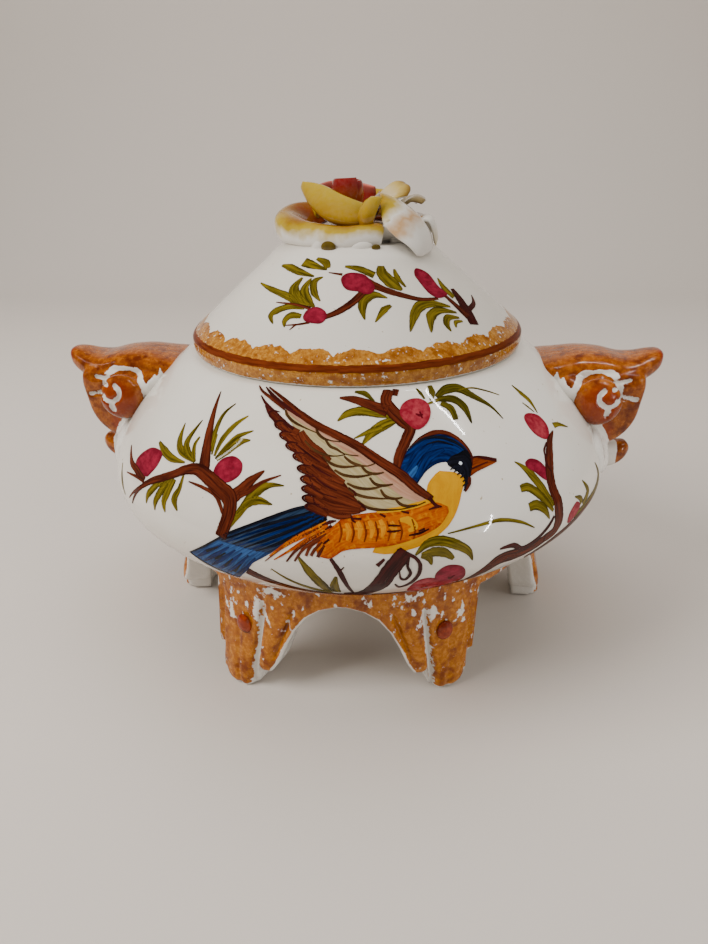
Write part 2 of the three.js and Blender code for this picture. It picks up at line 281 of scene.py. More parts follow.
def noise(nodes, links, vector, scale, detail=3.0, rough=0.55):
    node = nodes.new("ShaderNodeTexNoise")
    node.inputs["Scale"].default_value = scale
    node.inputs["Detail"].default_value = detail
    node.inputs["Roughness"].default_value = rough
    links.new(vector, node.inputs["Vector"])
    return node.outputs["Fac"]


def ramp(nodes, links, factor, low, high, start=0.0, end=1.0):
    """The factor stretched so that low gives start and high gives end."""
    node = nodes.new("ShaderNodeMapRange")
    node.inputs["From Min"].default_value = low
    node.inputs["From Max"].default_value = high
    node.inputs["To Min"].default_value = start
    node.inputs["To Max"].default_value = end
    links.new(factor, node.inputs["Value"])
    return node.outputs["Result"]


def math_node(nodes, links, operation, a, b):
    node = nodes.new("ShaderNodeMath")
    node.operation = operation
    for socket, value in zip(node.inputs, (a, b)):
        if isinstance(value, (int, float)):
            socket.default_value = value
        else:
            links.new(value, socket)
    return node.outputs[0]


def blend(nodes, links, factor, low, high):
    """A colour between two, each a colour or a link."""
    node = nodes.new("ShaderNodeMix")
    node.data_type = "RGBA"
    links.new(factor, node.inputs[0])
    for socket, value in ((node.inputs[6], low), (node.inputs[7], high)):
        if isinstance(value, tuple):
            socket.default_value = (*value, 1)
        else:
            links.new(value, socket)
    return node.outputs[2]


def bump(nodes, links, principled, height, strength, distance):
    node = nodes.new("ShaderNodeBump")
    node.inputs["Strength"].default_value = strength
    node.inputs["Distance"].default_value = distance
    links.new(height, node.inputs["Height"])
    links.new(node.outputs["Normal"], principled.inputs["Normal"])


WHITE = (0.69, 0.66, 0.605)


def local(nodes):
    return nodes.new("ShaderNodeTexCoord").outputs["Object"]


def white_glaze():
    """Tin glaze: milky white, a little uneven in tone, with pin specks and a soft orange-peel surface."""
    shader, nodes, links, principled = material("white_glaze")
    glossy(principled, 0.16)
    place = local(nodes)
    cloud = ramp(nodes, links, noise(nodes, links, place, 14), 0.35, 0.7)
    body = blend(nodes, links, cloud, WHITE, (0.64, 0.60, 0.53))
    speck = ramp(nodes, links, noise(nodes, links, place, 420, 1.0), 0.765, 0.80)
    links.new(blend(nodes, links, speck, body, (0.42, 0.35, 0.25)), principled.inputs["Base Color"])
    links.new(ramp(nodes, links, cloud, 0, 1, 0.13, 0.2), principled.inputs["Roughness"])
    bump(nodes, links, principled, noise(nodes, links, place, 55, 2.0), 0.12, 0.0015)
    return shader


def sponge(name, colors, bare=0.0, grain=330):
    """Sponged-on glaze: a mottled colour over white, which shows in specks and where a piece is bare."""
    shader, nodes, links, principled = material(name)
    glossy(principled, 0.2, 0.55)
    place = local(nodes)
    blot = ramp(nodes, links, noise(nodes, links, place, grain, 4.0, 0.7), 0.40, 0.60)
    color = blend(nodes, links, blot, colors[0], colors[1])
    wash = ramp(nodes, links, noise(nodes, links, place, 150, 3.0), 0.48, 0.66)
    color = blend(nodes, links, wash, color, colors[2])
    deep = nodes.new("ShaderNodeAttribute")
    deep.attribute_name = "deep"
    color = blend(nodes, links, deep.outputs["Fac"], color, RED_GLAZE)
    uncovered = nodes.new("ShaderNodeAttribute")
    uncovered.attribute_name = "bare"
    specks = math_node(nodes, links, "ADD", noise(nodes, links, place, grain * 0.75, 3.0, 0.6),
                       math_node(nodes, links, "MULTIPLY", noise(nodes, links, place, 75, 2.0), 0.35))
    specks = math_node(nodes, links, "ADD", specks,
                       math_node(nodes, links, "MULTIPLY", uncovered.outputs["Fac"], 0.6))
    ground = ramp(nodes, links, specks, 0.93 - bare, 0.99 - bare)
    links.new(blend(nodes, links, ground, color, WHITE), principled.inputs["Base Color"])
    links.new(ramp(nodes, links, blot, 0, 1, 0.14, 0.3), principled.inputs["Roughness"])
    swell = math_node(nodes, links, "ADD", specks, noise(nodes, links, place, 110, 2.0))
    bump(nodes, links, principled, swell, 0.35, 0.0011)
    return shader


def paint(name, thin, thick, wash=None, gradient=None, grain=(0.07, 0.9)):
    """Brushed glaze colour: thin and thick streaks that run with the stroke and pool at its edges."""
    shader, nodes, links, principled = material(name)
    glossy(principled, 0.18, 0.4)
    flow = nodes.new("ShaderNodeAttribute")
    flow.attribute_name = "flow"
    edge = nodes.new("ShaderNodeAttribute")
    edge.attribute_name = "edge"
    stretch = nodes.new("ShaderNodeMapping")
    stretch.inputs["Scale"].default_value = (*grain, 37)
    links.new(flow.outputs["Vector"], stretch.inputs["Vector"])
    streak = ramp(nodes, links, noise(nodes, links, stretch.outputs["Vector"], 1.0, 4.0, 0.65), 0.36, 0.64)
    pool = ramp(nodes, links, edge.outputs["Fac"], 0.72, 1.0, 0, 0.55)
    load = math_node(nodes, links, "ADD", streak, pool)
    color = blend(nodes, links, load, thin, thick)
    if gradient:
        split = nodes.new("ShaderNodeSeparateXYZ")
        links.new(flow.outputs["Vector"], split.inputs["Vector"])
        reach, far = gradient
        far_color = blend(nodes, links, load, *far)
        color = blend(nodes, links, ramp(nodes, links, split.outputs["X"], *reach), color, far_color)
    if wash:
        cover = ramp(nodes, links, noise(nodes, links, flow.outputs["Vector"], 0.45, 2.0), 0.5, 0.75)
        color = blend(nodes, links, cover, color, wash)
    links.new(color, principled.inputs["Base Color"])
    links.new(ramp(nodes, links, streak, 0, 1, 0.14, 0.24), principled.inputs["Roughness"])
    bump(nodes, links, principled, load, 0.12, 0.0003)
    return shader


RED_GLAZE = (0.22, 0.022, 0.0)
OCHRE_LIGHT = ((0.30, 0.105, 0.006), (0.47, 0.21, 0.028), (0.22, 0.062, 0.002))
OCHRE = ((0.30, 0.080, 0.0), (0.46, 0.165, 0.008), (0.17, 0.032, 0.0))
GLAZE = white_glaze()
PATCHY = sponge("ochre_sponge", OCHRE, bare=0.06, grain=420)
BEAD = sponge("rust_glaze", ((0.22, 0.020, 0.0), (0.30, 0.036, 0.001), (0.13, 0.010, 0.0)), bare=-0.2)
HANDLE = sponge("handle_rust", ((0.20, 0.040, 0.0), (0.33, 0.090, 0.002), (0.105, 0.015, 0.0)), bare=-0.06)
PAINTS = {
    "bark": paint("bark_paint", (0.115, 0.020, 0.007), (0.024, 0.0032, 0.0015)),
    "dark": paint("dark_paint", (0.055, 0.007, 0.006), (0.018, 0.003, 0.0025)),
    "leaf": paint("leaf_paint", (0.18, 0.13, 0.008), (0.034, 0.025, 0.0005)),
    "leaf_dark": paint("leaf_dark_paint", (0.085, 0.066, 0.003), (0.020, 0.016, 0.001)),
    "berry": paint("berry_paint", (0.25, 0.013, 0.034), (0.13, 0.004, 0.014), grain=(0.24, 0.3)),
    "berry_pale": paint("berry_pale_paint", (0.33, 0.040, 0.052), (0.19, 0.007, 0.018), grain=(0.3, 0.3)),
    "berry_spot": paint("berry_spot_paint", (0.10, 0.002, 0.008), (0.07, 0.002, 0.006)),
    "rust": paint("rust_paint", (0.135, 0.026, 0.009), (0.042, 0.006, 0.0025)),
    "cream": paint("cream_paint", (0.40, 0.335, 0.19), (0.28, 0.22, 0.10)),
    "blush": paint("blush_paint", (0.42, 0.245, 0.165), (0.30, 0.145, 0.09)),
    "line": paint("line_paint", (0.075, 0.034, 0.010), (0.030, 0.012, 0.004)),
    "blue": paint("blue_paint", (0.003, 0.022, 0.125), (0.0008, 0.003, 0.024)),
    "black": paint("black_paint", (0.007, 0.008, 0.016), (0.002, 0.002, 0.003)),
    "yellow": paint("yellow_paint", (0.54, 0.27, 0.0), (0.47, 0.205, 0.0), grain=(0.1, 0.3)),
    "orange": paint("orange_paint", (0.46, 0.105, 0.0), (0.26, 0.032, 0.0), wash=(0.50, 0.165, 0.0)),
    "bars": paint("bar_paint", (0.58, 0.24, 0.004), (0.44, 0.13, 0.0)),
    "beak": paint("beak_paint", (0.21, 0.036, 0.001), (0.09, 0.010, 0.0005)),
    "tail": paint("tail_paint", (0.022, 0.045, 0.09), (0.004, 0.010, 0.028),
                  gradient=((10, 62), ((0.045, 0.080, 0.155), (0.008, 0.014, 0.045)))),
    "tail_tip": paint("tail_tip_paint", (0.028, 0.105, 0.30), (0.004, 0.022, 0.09)),
    # a bright bluish white for the painted highlight dot in the bird's eye
    "eye": paint("eye_highlight_paint", (0.8, 0.82, 0.85), (0.6, 0.66, 0.75)),
    "band": paint("band_paint", (0.17, 0.032, 0.006), (0.085, 0.013, 0.002)),
    "sponge": sponge("lid_sponge", OCHRE_LIGHT, bare=0.115, grain=620),
}

# ---------------------------------------------------------------- painted motifs
# Places are azimuth in degrees, from the front towards the right handle, and height in millimetres.

BOWL = Side(BOWL_SIDE)
LID = Side(LID_SIDE)
LINE, DETAIL, TOP = 0.18, 0.24, 0.30


def left_tree(name="left_tree", turn=0, flip=1):
    canvas = Canvas(name, BOWL, "bowl", turn, flip)
    draw = canvas.stroke
    draw("bark", [(-21.5, 105.5), (-20.8, 111), (-20.4, 117), (-21.3, 121.3), (-24.2, 123.8), (-28, 126.6),
                  (-31.1, 127.7), (-34.2, 126), (-36.9, 123), (-39.8, 120), (-44, 115.5), (-47.3, 109.5),
                  (-49.6, 101)], [5.5, 6, 6.5, 7.5, 7, 6.5, 5.5, 4.5, 4, 4, 3.2, 2.2, 0.6], DETAIL)
    draw("bark", [(-28.9, 127.5), (-30.4, 134), (-32.4, 141.5), (-36.2, 154.5)], [6.2, 5.4, 4.2, 0.4], LINE)
    draw("bark", [(-20.6, 121), (-18.8, 124.8), (-17.2, 128.4), (-14.8, 132.3)], [6.5, 5.2, 4.2, 0.6], LINE)
    draw("bark", [(-19, 122.6), (-17, 125), (-14.5, 128.6), (-11, 131.5)], [3, 2.6, 1.6, 0.4], LINE)
    draw("bark", [(-32, 122.6), (-28, 122.2), (-24.2, 120.5), (-21.7, 115)], [0.6, 1.6, 1.8, 1.6], LINE)
    draw("bark", [(-42, 117.4), (-45.3, 113.6), (-48.8, 107.8), (-51.4, 102.3)], [2, 2, 1.6, 0.5], LINE)
    draw("bark", [(-46, 114.8), (-51, 116.2), (-55, 117), (-59.5, 121.5)], [3.2, 3.6, 3.2, 0.6], LINE)
    draw("bark", [(-55.5, 111.6), (-50, 113.8), (-46, 114.6)], [0.5, 1.6, 2.2], LINE)
    canvas.blob("berry", [(-46.2, 116.4), (-52, 117.3), (-52.3, 121.6), (-48.6, 127.5), (-43.8, 128.2),
                          (-43.2, 123.8), (-44.4, 119.3)])
    canvas.blob("berry", [(-26.6, 129.2), (-25.6, 133.4), (-22.9, 135.3), (-20.4, 133.7), (-19.9, 130.3),
                          (-21.3, 127.2), (-23.4, 125.6), (-25.3, 126.4)])
    leaves = [
        ([(-19.2, 114.6), (-17, 121), (-15.2, 125.6), (-12.8, 127.8), (-10, 128.1)], [1, 4, 4.6, 2.4, 0.4]),
        ([(-19.4, 113.5), (-17.2, 119.6), (-15, 121.9), (-11.8, 121.2)], [1, 3.6, 4, 0.4]),
        ([(-19.9, 109.6), (-18.3, 115.5), (-16.6, 119.5)], [0.6, 2.6, 0.8]),
        ([(-29, 135), (-30.6, 142), (-30.7, 148), (-28.8, 152)], [2.2, 2.6, 1.8, 0.4]),
        ([(-27.8, 133.8), (-27.6, 140), (-25.8, 145.5), (-23.3, 149)], [1, 2.8, 2.4, 0.5]),
        ([(-27.3, 133), (-25.6, 138), (-23.8, 141.8), (-20.3, 144.6)], [0.8, 2.6, 2.6, 0.4]),
        ([(-26.8, 132.6), (-24.8, 136.6), (-22.9, 140), (-20.2, 141.4)], [1, 3.4, 3.8, 0.5]),
        ([(-28.6, 134), (-29.4, 138), (-29.6, 141)], [0.6, 1.8, 0.6]),
        ([(-32.4, 130), (-37.6, 131.8), (-40, 135), (-41.5, 141)], [1.4, 4, 3.4, 0.4]),
        ([(-32.5, 130), (-35.6, 132.2), (-37.4, 136), (-36.3, 144)], [1.4, 4, 3.4, 0.4]),
        ([(-32.3, 130), (-33.5, 132), (-34.6, 135.5), (-34.3, 138.5)], [1, 2.4, 2, 1]),
        ([(-35.1, 128.5), (-39.5, 128), (-43, 129), (-46.8, 131)], [0.8, 3.6, 4.4, 1.2]),
        ([(-40, 118.6), (-41.9, 114), (-43, 110.5), (-43, 106.6)], [3, 4.2, 3.6, 0.5]),
        ([(-38.2, 119), (-39.3, 113.8), (-39.9, 109.8), (-39.6, 106)], [3.4, 4.4, 3.6, 0.5]),
        ([(-36.4, 121.5), (-37, 115.6), (-37.2, 111.6), (-36.2, 107.5)], [3.8, 4.6, 3.8, 0.5]),
        ([(-34, 124.2), (-33.9, 119), (-34.4, 114.4), (-32.8, 110.3)], [1, 2.6, 4.2, 0.5]),
        ([(-37.6, 122), (-38.6, 119), (-40, 116)], [2, 6.5, 3]),
        ([(-60.5, 112), (-57.5, 105.5), (-54.5, 101)], [0.6, 3, 0.6]),
    ]
    for places, widths in leaves:
        draw("leaf", places, widths)
    canvas.finish()


def right_tree(name="right_tree", turn=0, flip=1):
    canvas = Canvas(name, BOWL, "bowl", turn, flip)
    draw = canvas.stroke
    draw("bark", [(43, 93.6), (45.7, 95), (46.8, 99), (47, 104), (47.1, 109), (46.7, 115), (47.6, 121),
                  (49.8, 126.5), (52.4, 131), (55.5, 133.4)],
         [5, 6, 6.4, 6.4, 6, 5.4, 5.4, 4.8, 3.4, 0.5], DETAIL)
    draw("bark", [(27.5, 79.5), (29.2, 85), (32, 91.3), (36.5, 91), (40.4, 91.6), (44.5, 94.5)],
         [5, 7, 8, 7.6, 6.6, 5], LINE)
    draw("bark", [(41, 83), (46, 88), (51, 91), (55, 93.2), (59.5, 95), (64.5, 97)],
         [5, 5, 4.6, 4, 3.2, 1.8], LINE)
    draw("dark", [(45.4, 103.5), (43.4, 99.6), (40.4, 95.6), (37, 93.9), (34.4, 97.6), (31.3, 97.9)],
         [1.2, 1.8, 2, 2.4, 2.6, 0.8], DETAIL)
    draw("dark", [(48.4, 127.5), (47.7, 124.5), (47.9, 121)], [0.5, 1, 0.6], TOP)
    draw("dark", [(50.9, 131), (48.9, 129), (48.2, 126)], [0.8, 1, 0.5], TOP)
    canvas.blob("berry_pale", [(48.7, 142), (50.8, 142.7), (54, 140.4), (54.7, 136), (53, 132.6),
                               (51.2, 132.2),
                               (49, 135), (48.2, 138.9)])
    canvas.blob("berry", [(41.9, 127.8), (43.8, 128.4), (46, 126.2), (47.1, 121.8), (46.4, 118.2),
                          (45, 119.7),
                          (43.4, 123.2), (41.9, 125.7)])
    canvas.blob("berry_pale", [(53.7, 103.4), (51, 100.5), (50.5, 96.2), (51.6, 94.2), (54, 96.4),
                               (55.3, 100)])
    leaves = [
        ([(39.2, 129.3), (40.6, 127), (42.2, 122.9), (43.9, 116), (45.6, 108)], [0.4, 2, 4.4, 4.4, 1.8]),
        ([(38.2, 119.4), (40.4, 118.8), (43, 113.4), (45.3, 106)], [3, 4.2, 4, 1.6]),
        ([(39, 111.6), (41, 111.4), (42.9, 108.2), (43.9, 103.2)], [3.6, 4.6, 3.8, 0.5]),
        ([(20.8, 109.8), (26.7, 110.6), (31.8, 110.5), (36.2, 107.3), (39.6, 102.4)],
         [0.5, 1.2, 1.8, 1.5, 0.5]),
        ([(33.3, 156.3), (38, 156.2), (42, 154.2), (45.5, 151.6)], [0.5, 0.9, 0.9, 0.4]),
        ([(52.5, 153), (53.6, 149.4), (54.6, 146), (54.3, 141.2)], [0.5, 2.6, 2.6, 0.4]),
        ([(51.5, 146.5), (52.4, 144.5), (53.4, 142)], [0.5, 1, 0.4]),
        ([(57, 134.8), (59.5, 133.9), (62.5, 131)], [3, 2.2, 0.4]),
        ([(53.5, 96), (60, 96.5), (65.5, 98.5), (68, 104), (67.2, 111)], [4, 6.5, 6.5, 4, 0.4]),
        ([(56.8, 99), (59.4, 103.6), (57.6, 110.4)], [4.4, 4, 0.4]),
        ([(56, 100.6), (55.4, 103.6), (53.2, 106.2)], [4, 3, 0.4]),
    ]
    for places, widths in leaves:
        draw("leaf", places, widths)
    canvas.finish()


def top_branch(name="top_branch", turn=0, flip=1):
    canvas = Canvas(name, BOWL, "bowl", turn, flip)
    draw = canvas.stroke
    draw("bark", [(13.7, 159.4), (12.3, 156), (13.6, 152.4), (15.7, 149.2), (17, 146.6), (15.5, 143),
                  (13.6, 138.5),
                  (12.6, 134.5)], [4.6, 5, 6, 6.4, 5, 4.6, 4.4, 3.4], LINE)
    draw("bark", [(15.6, 159.4), (15, 157.3)], [3, 2], LINE)
    draw("bark", [(12.4, 152.6), (7.6, 155.1), (3.8, 156.7), (0, 157.2)], [6, 4.6, 3.6, 0.8], LINE)
    canvas.blob("berry_pale", [(15.3, 151.2), (16.2, 154.2), (18.7, 155.8), (21.6, 155.6), (23.3, 153.7),
                               (23.1, 150.6), (21.3, 147.5), (18.8, 146), (17, 147.6)], DETAIL)
    draw("berry_spot", [(19.2, 151), (20.2, 150.4), (21, 150.6)], [0.5, 1.4, 0.5], TOP)
    draw("berry_spot", [(20.4, 151.6), (20.6, 149.4)], [0.8, 0.8], TOP)
    leaves = [
        ("leaf", [(13, 151), (10, 152), (6.2, 153), (2.4, 152.3), (-0.1, 149.9)], [2, 4, 4.8, 3.8, 0.5]),
        ("leaf", [(14, 149.8), (10.8, 148.3), (8, 146), (5.6, 142.2)], [3, 5, 4, 0.5]),
        ("leaf", [(10.4, 147.8), (7.6, 146.6), (3.9, 144.4)], [2.5, 2.4, 0.4]),
        ("leaf_dark", [(4.2, 159.4), (7, 158.4), (9.4, 155.6)], [2, 2.8, 0.6]),
        ("leaf_dark", [(26.2, 155.6), (30, 157.3), (33.8, 157), (36.8, 153.9), (40.4, 149.2), (42, 144)],
         [1.6, 4.6, 5, 3.6, 1.6, 0.4]),
        ("leaf_dark", [(26.4, 154.6), (30.6, 154), (32.7, 150.9), (32.7, 145.2)], [2, 4.2, 4, 0.4]),
        ("leaf_dark", [(26.8, 153.4), (28.9, 151.2), (29, 147.4)], [2.6, 3.6, 2.4]),
        ("leaf_dark", [(24.4, 154.6), (25.6, 157.2), (25.6, 159.4)], [1.4, 3, 2]),
        ("leaf_dark", [(22.8, 155.4), (22.2, 157.4), (21.4, 159)], [0.8, 1.6, 0.6]),
        ("leaf", [(22.8, 153.6), (26.8, 154.6)], [0.6, 2]),
    ]
    for leaf, places, widths in leaves:
        draw(leaf, places, widths)
    canvas.finish()


def ground_branch(name="ground_branch", turn=0, flip=1):
    canvas = Canvas(name, BOWL, "bowl", turn, flip)
    draw = canvas.stroke
    draw("bark", [(-16.6, 91), (-13.6, 87), (-9.5, 82.5), (-5, 78.5), (1, 75.5), (8, 74.5), (15, 75),
                  (22, 76.5),
                  (28.5, 80)], [5, 5.4, 4.6, 4, 4.6, 5, 4, 3.6, 3], LINE)
    draw("dark", [(1.5, 78), (5.4, 79.4), (8, 86.5), (10, 96), (12.2, 103), (12.9, 105.2)],
         [2, 6, 8, 7.5, 7, 5], DETAIL)
    draw("dark", [(12.9, 104), (14.6, 101.6), (15.5, 97.6), (15.2, 92), (13.8, 86.6), (12.2, 84.6),
                  (11.2, 87.6)],
         [1.8, 1.4, 1.7, 1.7, 1.5, 1.4, 0.6], TOP)
    draw("dark", [(13.4, 102), (13.2, 98), (13.8, 94), (13, 90.6), (12.1, 91.6), (11.8, 95.6)],
         [1, 1.2, 1.4, 1.3, 1.1, 0.5], TOP)
    draw("dark", [(7.8, 99.2), (9.1, 102.2)], [2, 1], DETAIL)
    canvas.blob("berry", [(18.6, 89.6), (19.4, 94.2), (21.3, 95.6), (23.7, 93.4), (24.9, 88.5), (25.2, 82),
                          (23.3, 78.2),
                          (20.2, 78.4)], LINE)
    canvas.blob("berry_pale", [(14.2, 80), (14.9, 87.4), (17, 89.6), (19, 88), (20.2, 83.4), (20.2, 76.6),
                               (17.8, 74.6),
                               (15.4, 75)], DETAIL)
    draw("berry_spot", [(21.4, 88), (22, 86.4), (22.6, 88.4)], [0.5, 1.6, 0.5], TOP)
    draw("berry_spot", [(17, 80), (18.2, 81)], [1, 1.6], TOP)
    leaves = [
        ([(-6.2, 103), (-4.6, 97), (-2.4, 88), (-1.2, 80)], [0.5, 3.4, 5, 3]),
        ([(-11.4, 95), (-7.6, 88), (-3.4, 81.6), (-1, 78.4)], [0.4, 1.8, 3.4, 1.5]),
        ([(0.5, 93.6), (0, 87), (0.3, 80)], [1, 4.2, 3]),
        ([(14.6, 102.8), (16.7, 106.8), (19.3, 107.4), (22.1, 105), (24.5, 101), (25.6, 95.6)],
         [0.8, 3.4, 4.6, 4.6, 3.4, 0.4]),
        ([(15.7, 102.6), (17.9, 103.2), (20, 102.1), (21.7, 98.6)], [1.5, 4.2, 4.2, 1.5]),
        ([(15.6, 102), (17, 101), (17.6, 97.2)], [1.5, 3.6, 0.6]),
    ]
    for places, widths in leaves:
        draw("leaf", places, widths)
    canvas.finish()


def bird():
    wing = Canvas("bird_wing", BOWL, "bowl")
    draw = wing.stroke
    wing.patch("blush", [(-13.4, 153.6), (-9.4, 150.4), (-4.4, 147.2), (0, 144.3), (4.6, 141), (8.4, 137),
                         (13, 131.6),
                         (16.4, 126.4), (18.6, 122.8)],
               [(-13.9, 152.4), (-10, 148.2), (-6.6, 145.2), (-1.4, 141), (2.4, 137.2), (6, 132.6),
                (9.4, 127.6),
                (12.6, 123), (16.8, 121.4)])
    wing.patch("cream", [(-13.8, 152.2), (-9.6, 149.2), (-4.6, 146), (-0.6, 142.6), (3.6, 138.6),
                         (7.6, 133.6),
                         (10.6, 128.6), (13.4, 124.4), (16.6, 122)],
               [(-13.6, 151), (-10.8, 147.8), (-7.6, 142.6), (-4.4, 139.4), (-0.6, 134.6), (2.2, 129.6),
                (4.4, 124.4),
                (7.6, 121), (13, 120.4)], LINE - 0.03)
    scallops = [
        [(-5, 147.4), (-4.4, 145.8), (-3, 144.3), (-1.1, 143.6), (0.9, 143.3)],
        [(-2.5, 143.8), (-1.3, 141.8), (0, 141), (2, 139.4), (4.8, 138.8)],
        [(1.8, 138.7), (3.2, 136.9), (4.9, 135.8), (6.6, 135.5), (8.2, 136.2)],
        [(5.4, 135.5), (6.5, 133.6), (8, 132.9), (9.9, 133.2)],
        [(7, 131.7), (8, 129.6), (9.7, 128.9), (11.5, 129.2)],
        [(9, 127.7), (9.8, 125.4), (11.4, 124.3), (13.1, 124.5)],
        [(11.7, 124.2), (12.5, 122.4), (13.8, 121.4), (15.7, 121.5)],
        [(-13.8, 152.4), (-12.5, 150.4), (-10.2, 148.6), (-6.6, 146.8), (-4.4, 145.8)],
        [(-7.2, 143.2), (-4.7, 140.4), (-2.4, 139.1), (-0.2, 138.7), (2, 139.2)],
        [(-2.8, 138.6), (-0.7, 136.2), (1.5, 135.3), (4.9, 135.6)],
        [(-0.1, 134.3), (1.8, 132.7), (4.6, 132.1), (8, 132.9)],
        [(2.5, 130), (4.3, 128.6), (6.8, 128), (9.7, 128.8)],
        [(2.8, 128.1), (4.5, 126.2), (6.7, 125.1), (10.3, 124.4), (11.6, 124.4)],
        [(4.6, 124.1), (6, 122), (8.2, 120.9), (12, 120.5), (15.1, 121.1), (17.4, 122.2)],
    ]
    for places in scallops:
        draw("line", places, [0.8, 1.3, 1.2, 0.5], DETAIL)
    wing.patch("rust", [(-11.6, 144.2), (-9.4, 141), (-7.4, 137.6), (-5.6, 132.4), (-4.6, 128.8),
                        (-4, 124.6),
                        (-2.6, 121.4), (1, 119.6), (4, 119.4)],
               [(-9.8, 146.2), (-7.4, 143.6), (-5, 140.6), (-2.6, 138), (-0.6, 134.6), (2, 130.2),
                (3.6, 126.2),
                (5.2, 123), (6.2, 120.8)], LINE)
    feathers = [
        ([(-19.6, 153.6), (-16, 149.8), (-12.6, 147), (-9, 145.4)], [0.8, 3.2, 4.6, 3.4]),
        ([(-12, 144.2), (-8.4, 141.2), (-5, 138.4), (-1.6, 135.4)], [2.6, 4.4, 4.4, 2]),
        ([(-7.4, 138.4), (-4.4, 134.8), (-1, 132.4), (2, 130.2)], [2.4, 4.6, 4.4, 2]),
        ([(-5, 133.6), (-2, 130.4), (1, 128), (4, 126)], [2, 4.4, 4.2, 2]),
        ([(-4.3, 129.6), (-1.4, 126.4), (2, 124.2), (5.2, 122.2)], [2.6, 4.4, 4.2, 2]),
        ([(-3.8, 124.4), (-1, 122), (2, 120.9), (5, 120.7)], [3.4, 4.8, 4.2, 2]),
        ([(-8.6, 146), (-6.2, 142.2), (-3.6, 140), (-1, 137.4)], [3, 4.2, 3.6, 1.4]),
        ([(-2, 120.6), (1, 119), (3.4, 119)], [2, 3.2, 1.6]),
    ]
    for places, widths in feathers:
        draw("rust", places, widths, DETAIL)
    quills = [
        [(-12.1, 144), (-9.4, 140.6), (-7.2, 137.2), (-5.6, 133), (-4.6, 130)],
        [(-9.6, 142.4), (-6.4, 139.4), (-3.2, 136.6)],
        [(-6.6, 137.6), (-3.6, 134.4), (-0.6, 132)],
        [(-4.6, 132.6), (-2, 129.4), (0.6, 127.4)],
        [(-4.4, 129.8), (-4, 127.8), (-2.2, 126.4), (0.6, 125)],
        [(-3.9, 124.8), (-3.2, 122.4), (-1, 121)],
        [(2.8, 128.6), (4, 127), (4.2, 125.6)], [(4.6, 123.6), (5.6, 122.4), (6, 121)],
    ]
    for places in quills:
        draw("dark", places, [0.5, 0.9, 0.4], TOP)
    tips = [(-16.5, 150.6), (-14.1, 147.6), (-12.1, 144.4), (-10, 141.2), (-7.9, 138), (-6.5, 134.2),
            (-5.5, 130.8),
            (-5, 127.6), (-4.7, 124.4), (-4, 121.6)]
    for azimuth, height in tips:
        draw("rust", [(azimuth - 0.8, height + 0.5), (azimuth + 1, height - 0.8),
                      (azimuth + 3, height - 2.6)],
             [1.8, 3.4, 2], TOP)
        draw("dark", [(azimuth + 1.4, height + 1), (azimuth - 0.4, height + 1.2),
                      (azimuth - 1.3, height + 0.3),
                      (azimuth - 0.7, height - 0.9), (azimuth + 1.2, height - 2)],
             [0.3, 0.8, 0.9, 0.7, 0.3], TOP + 0.05)
    draw("bark", [(-21, 159), (-15.3, 155.8), (-9, 151.2), (-4.3, 148), (0, 145.4), (4.6, 142),
                  (8.4, 137.9),
                  (13.1, 132.4), (16.2, 126.8), (18.8, 122.9)],
         [0.7, 1.8, 3.2, 3.4, 3.6, 4, 4.2, 4.4, 3.8, 2.6], TOP)
    draw("dark", [(18.2, 123.6), (19.2, 120.8), (20.4, 119.8)], [2, 1.2, 0.5], TOP)
    draw("dark", [(17.8, 119.4), (19, 119.9), (20.4, 119.9)], [0.4, 1, 0.5], TOP)
    draw("dark", [(-22, 158.9), (-19.5, 157), (-15.9, 154.7), (-12.9, 152.9), (-9.4, 150.6)],
         [0.5, 1.5, 1.8, 1.8, 1], TOP)
    draw("bark", [(-24.4, 159), (-22.5, 157.4), (-18.4, 155.3), (-14, 152.5)], [0.5, 1.3, 1.6, 0.8], TOP)
    draw("dark", [(-22.3, 156), (-19.8, 153.7), (-16.6, 151.4), (-13.5, 148.9), (-10.4, 146.6)],
         [0.5, 1.3, 1.6, 1.8, 1.2], TOP)
    draw("dark", [(-19.8, 153.2), (-17.6, 150.5), (-14.7, 147.9), (-12, 145.5)], [0.6, 1.4, 1.4, 0.8], TOP)
    wing.finish()

    body = Canvas("bird_body", BOWL, "bowl")
    draw = body.stroke
    body.patch("yellow", [(21.4, 132), (24.7, 130.6), (26.3, 127.8), (25, 123.7), (24, 120), (22.5, 115.6),
                          (20.7, 112), (18.3, 109), (15.6, 106.4), (12.2, 104.9), (9.4, 104.2), (7, 105.2)],
               [(20.4, 131.2), (18.5, 128.3), (17.8, 125), (17, 122), (16.4, 119), (15.8, 117), (15, 114.5),
                (13, 112.5), (11, 110.5), (9, 108.5), (7.4, 107)], 0.09)
    body.patch("orange", [(-3, 107.4), (-1.6, 112), (0.4, 116), (2.4, 118.6), (6, 119.8), (10, 120.3),
                          (14, 121),
                          (17, 121.8), (19.8, 121.4), (21.6, 119.4)],
               [(-2.6, 103.4), (-0.4, 102.6), (1.8, 105.8), (4.2, 106.8), (8, 107.1), (11, 107.8),
                (14, 109.2),
                (17, 111), (19.6, 113.4), (21.6, 117.6)], 0.14)
    draw("yellow", [(8, 120.2), (12, 120.6), (16, 121.6), (18.6, 122.6)], [1.4, 2, 2.4, 1.6], LINE)
    draw("yellow", [(12.2, 116.8), (13.8, 116.4), (14.8, 114), (13.6, 112.6)], [1.5, 3.4, 3, 1.2], LINE)
    for azimuth, top in ((2.4, 116.4), (4.5, 117), (6.6, 117.2), (8.6, 117.4), (10.6, 116.6)):
        draw("bars", [(azimuth, top), (azimuth + 0.5, top - 3), (azimuth + 0.2, top - 6.4)], [1.6, 2.6, 1],
             LINE)
        draw("bars", [(azimuth - 0.6, top - 2.4), (azimuth + 1, top - 2.6)], [1.2, 1.2], LINE)
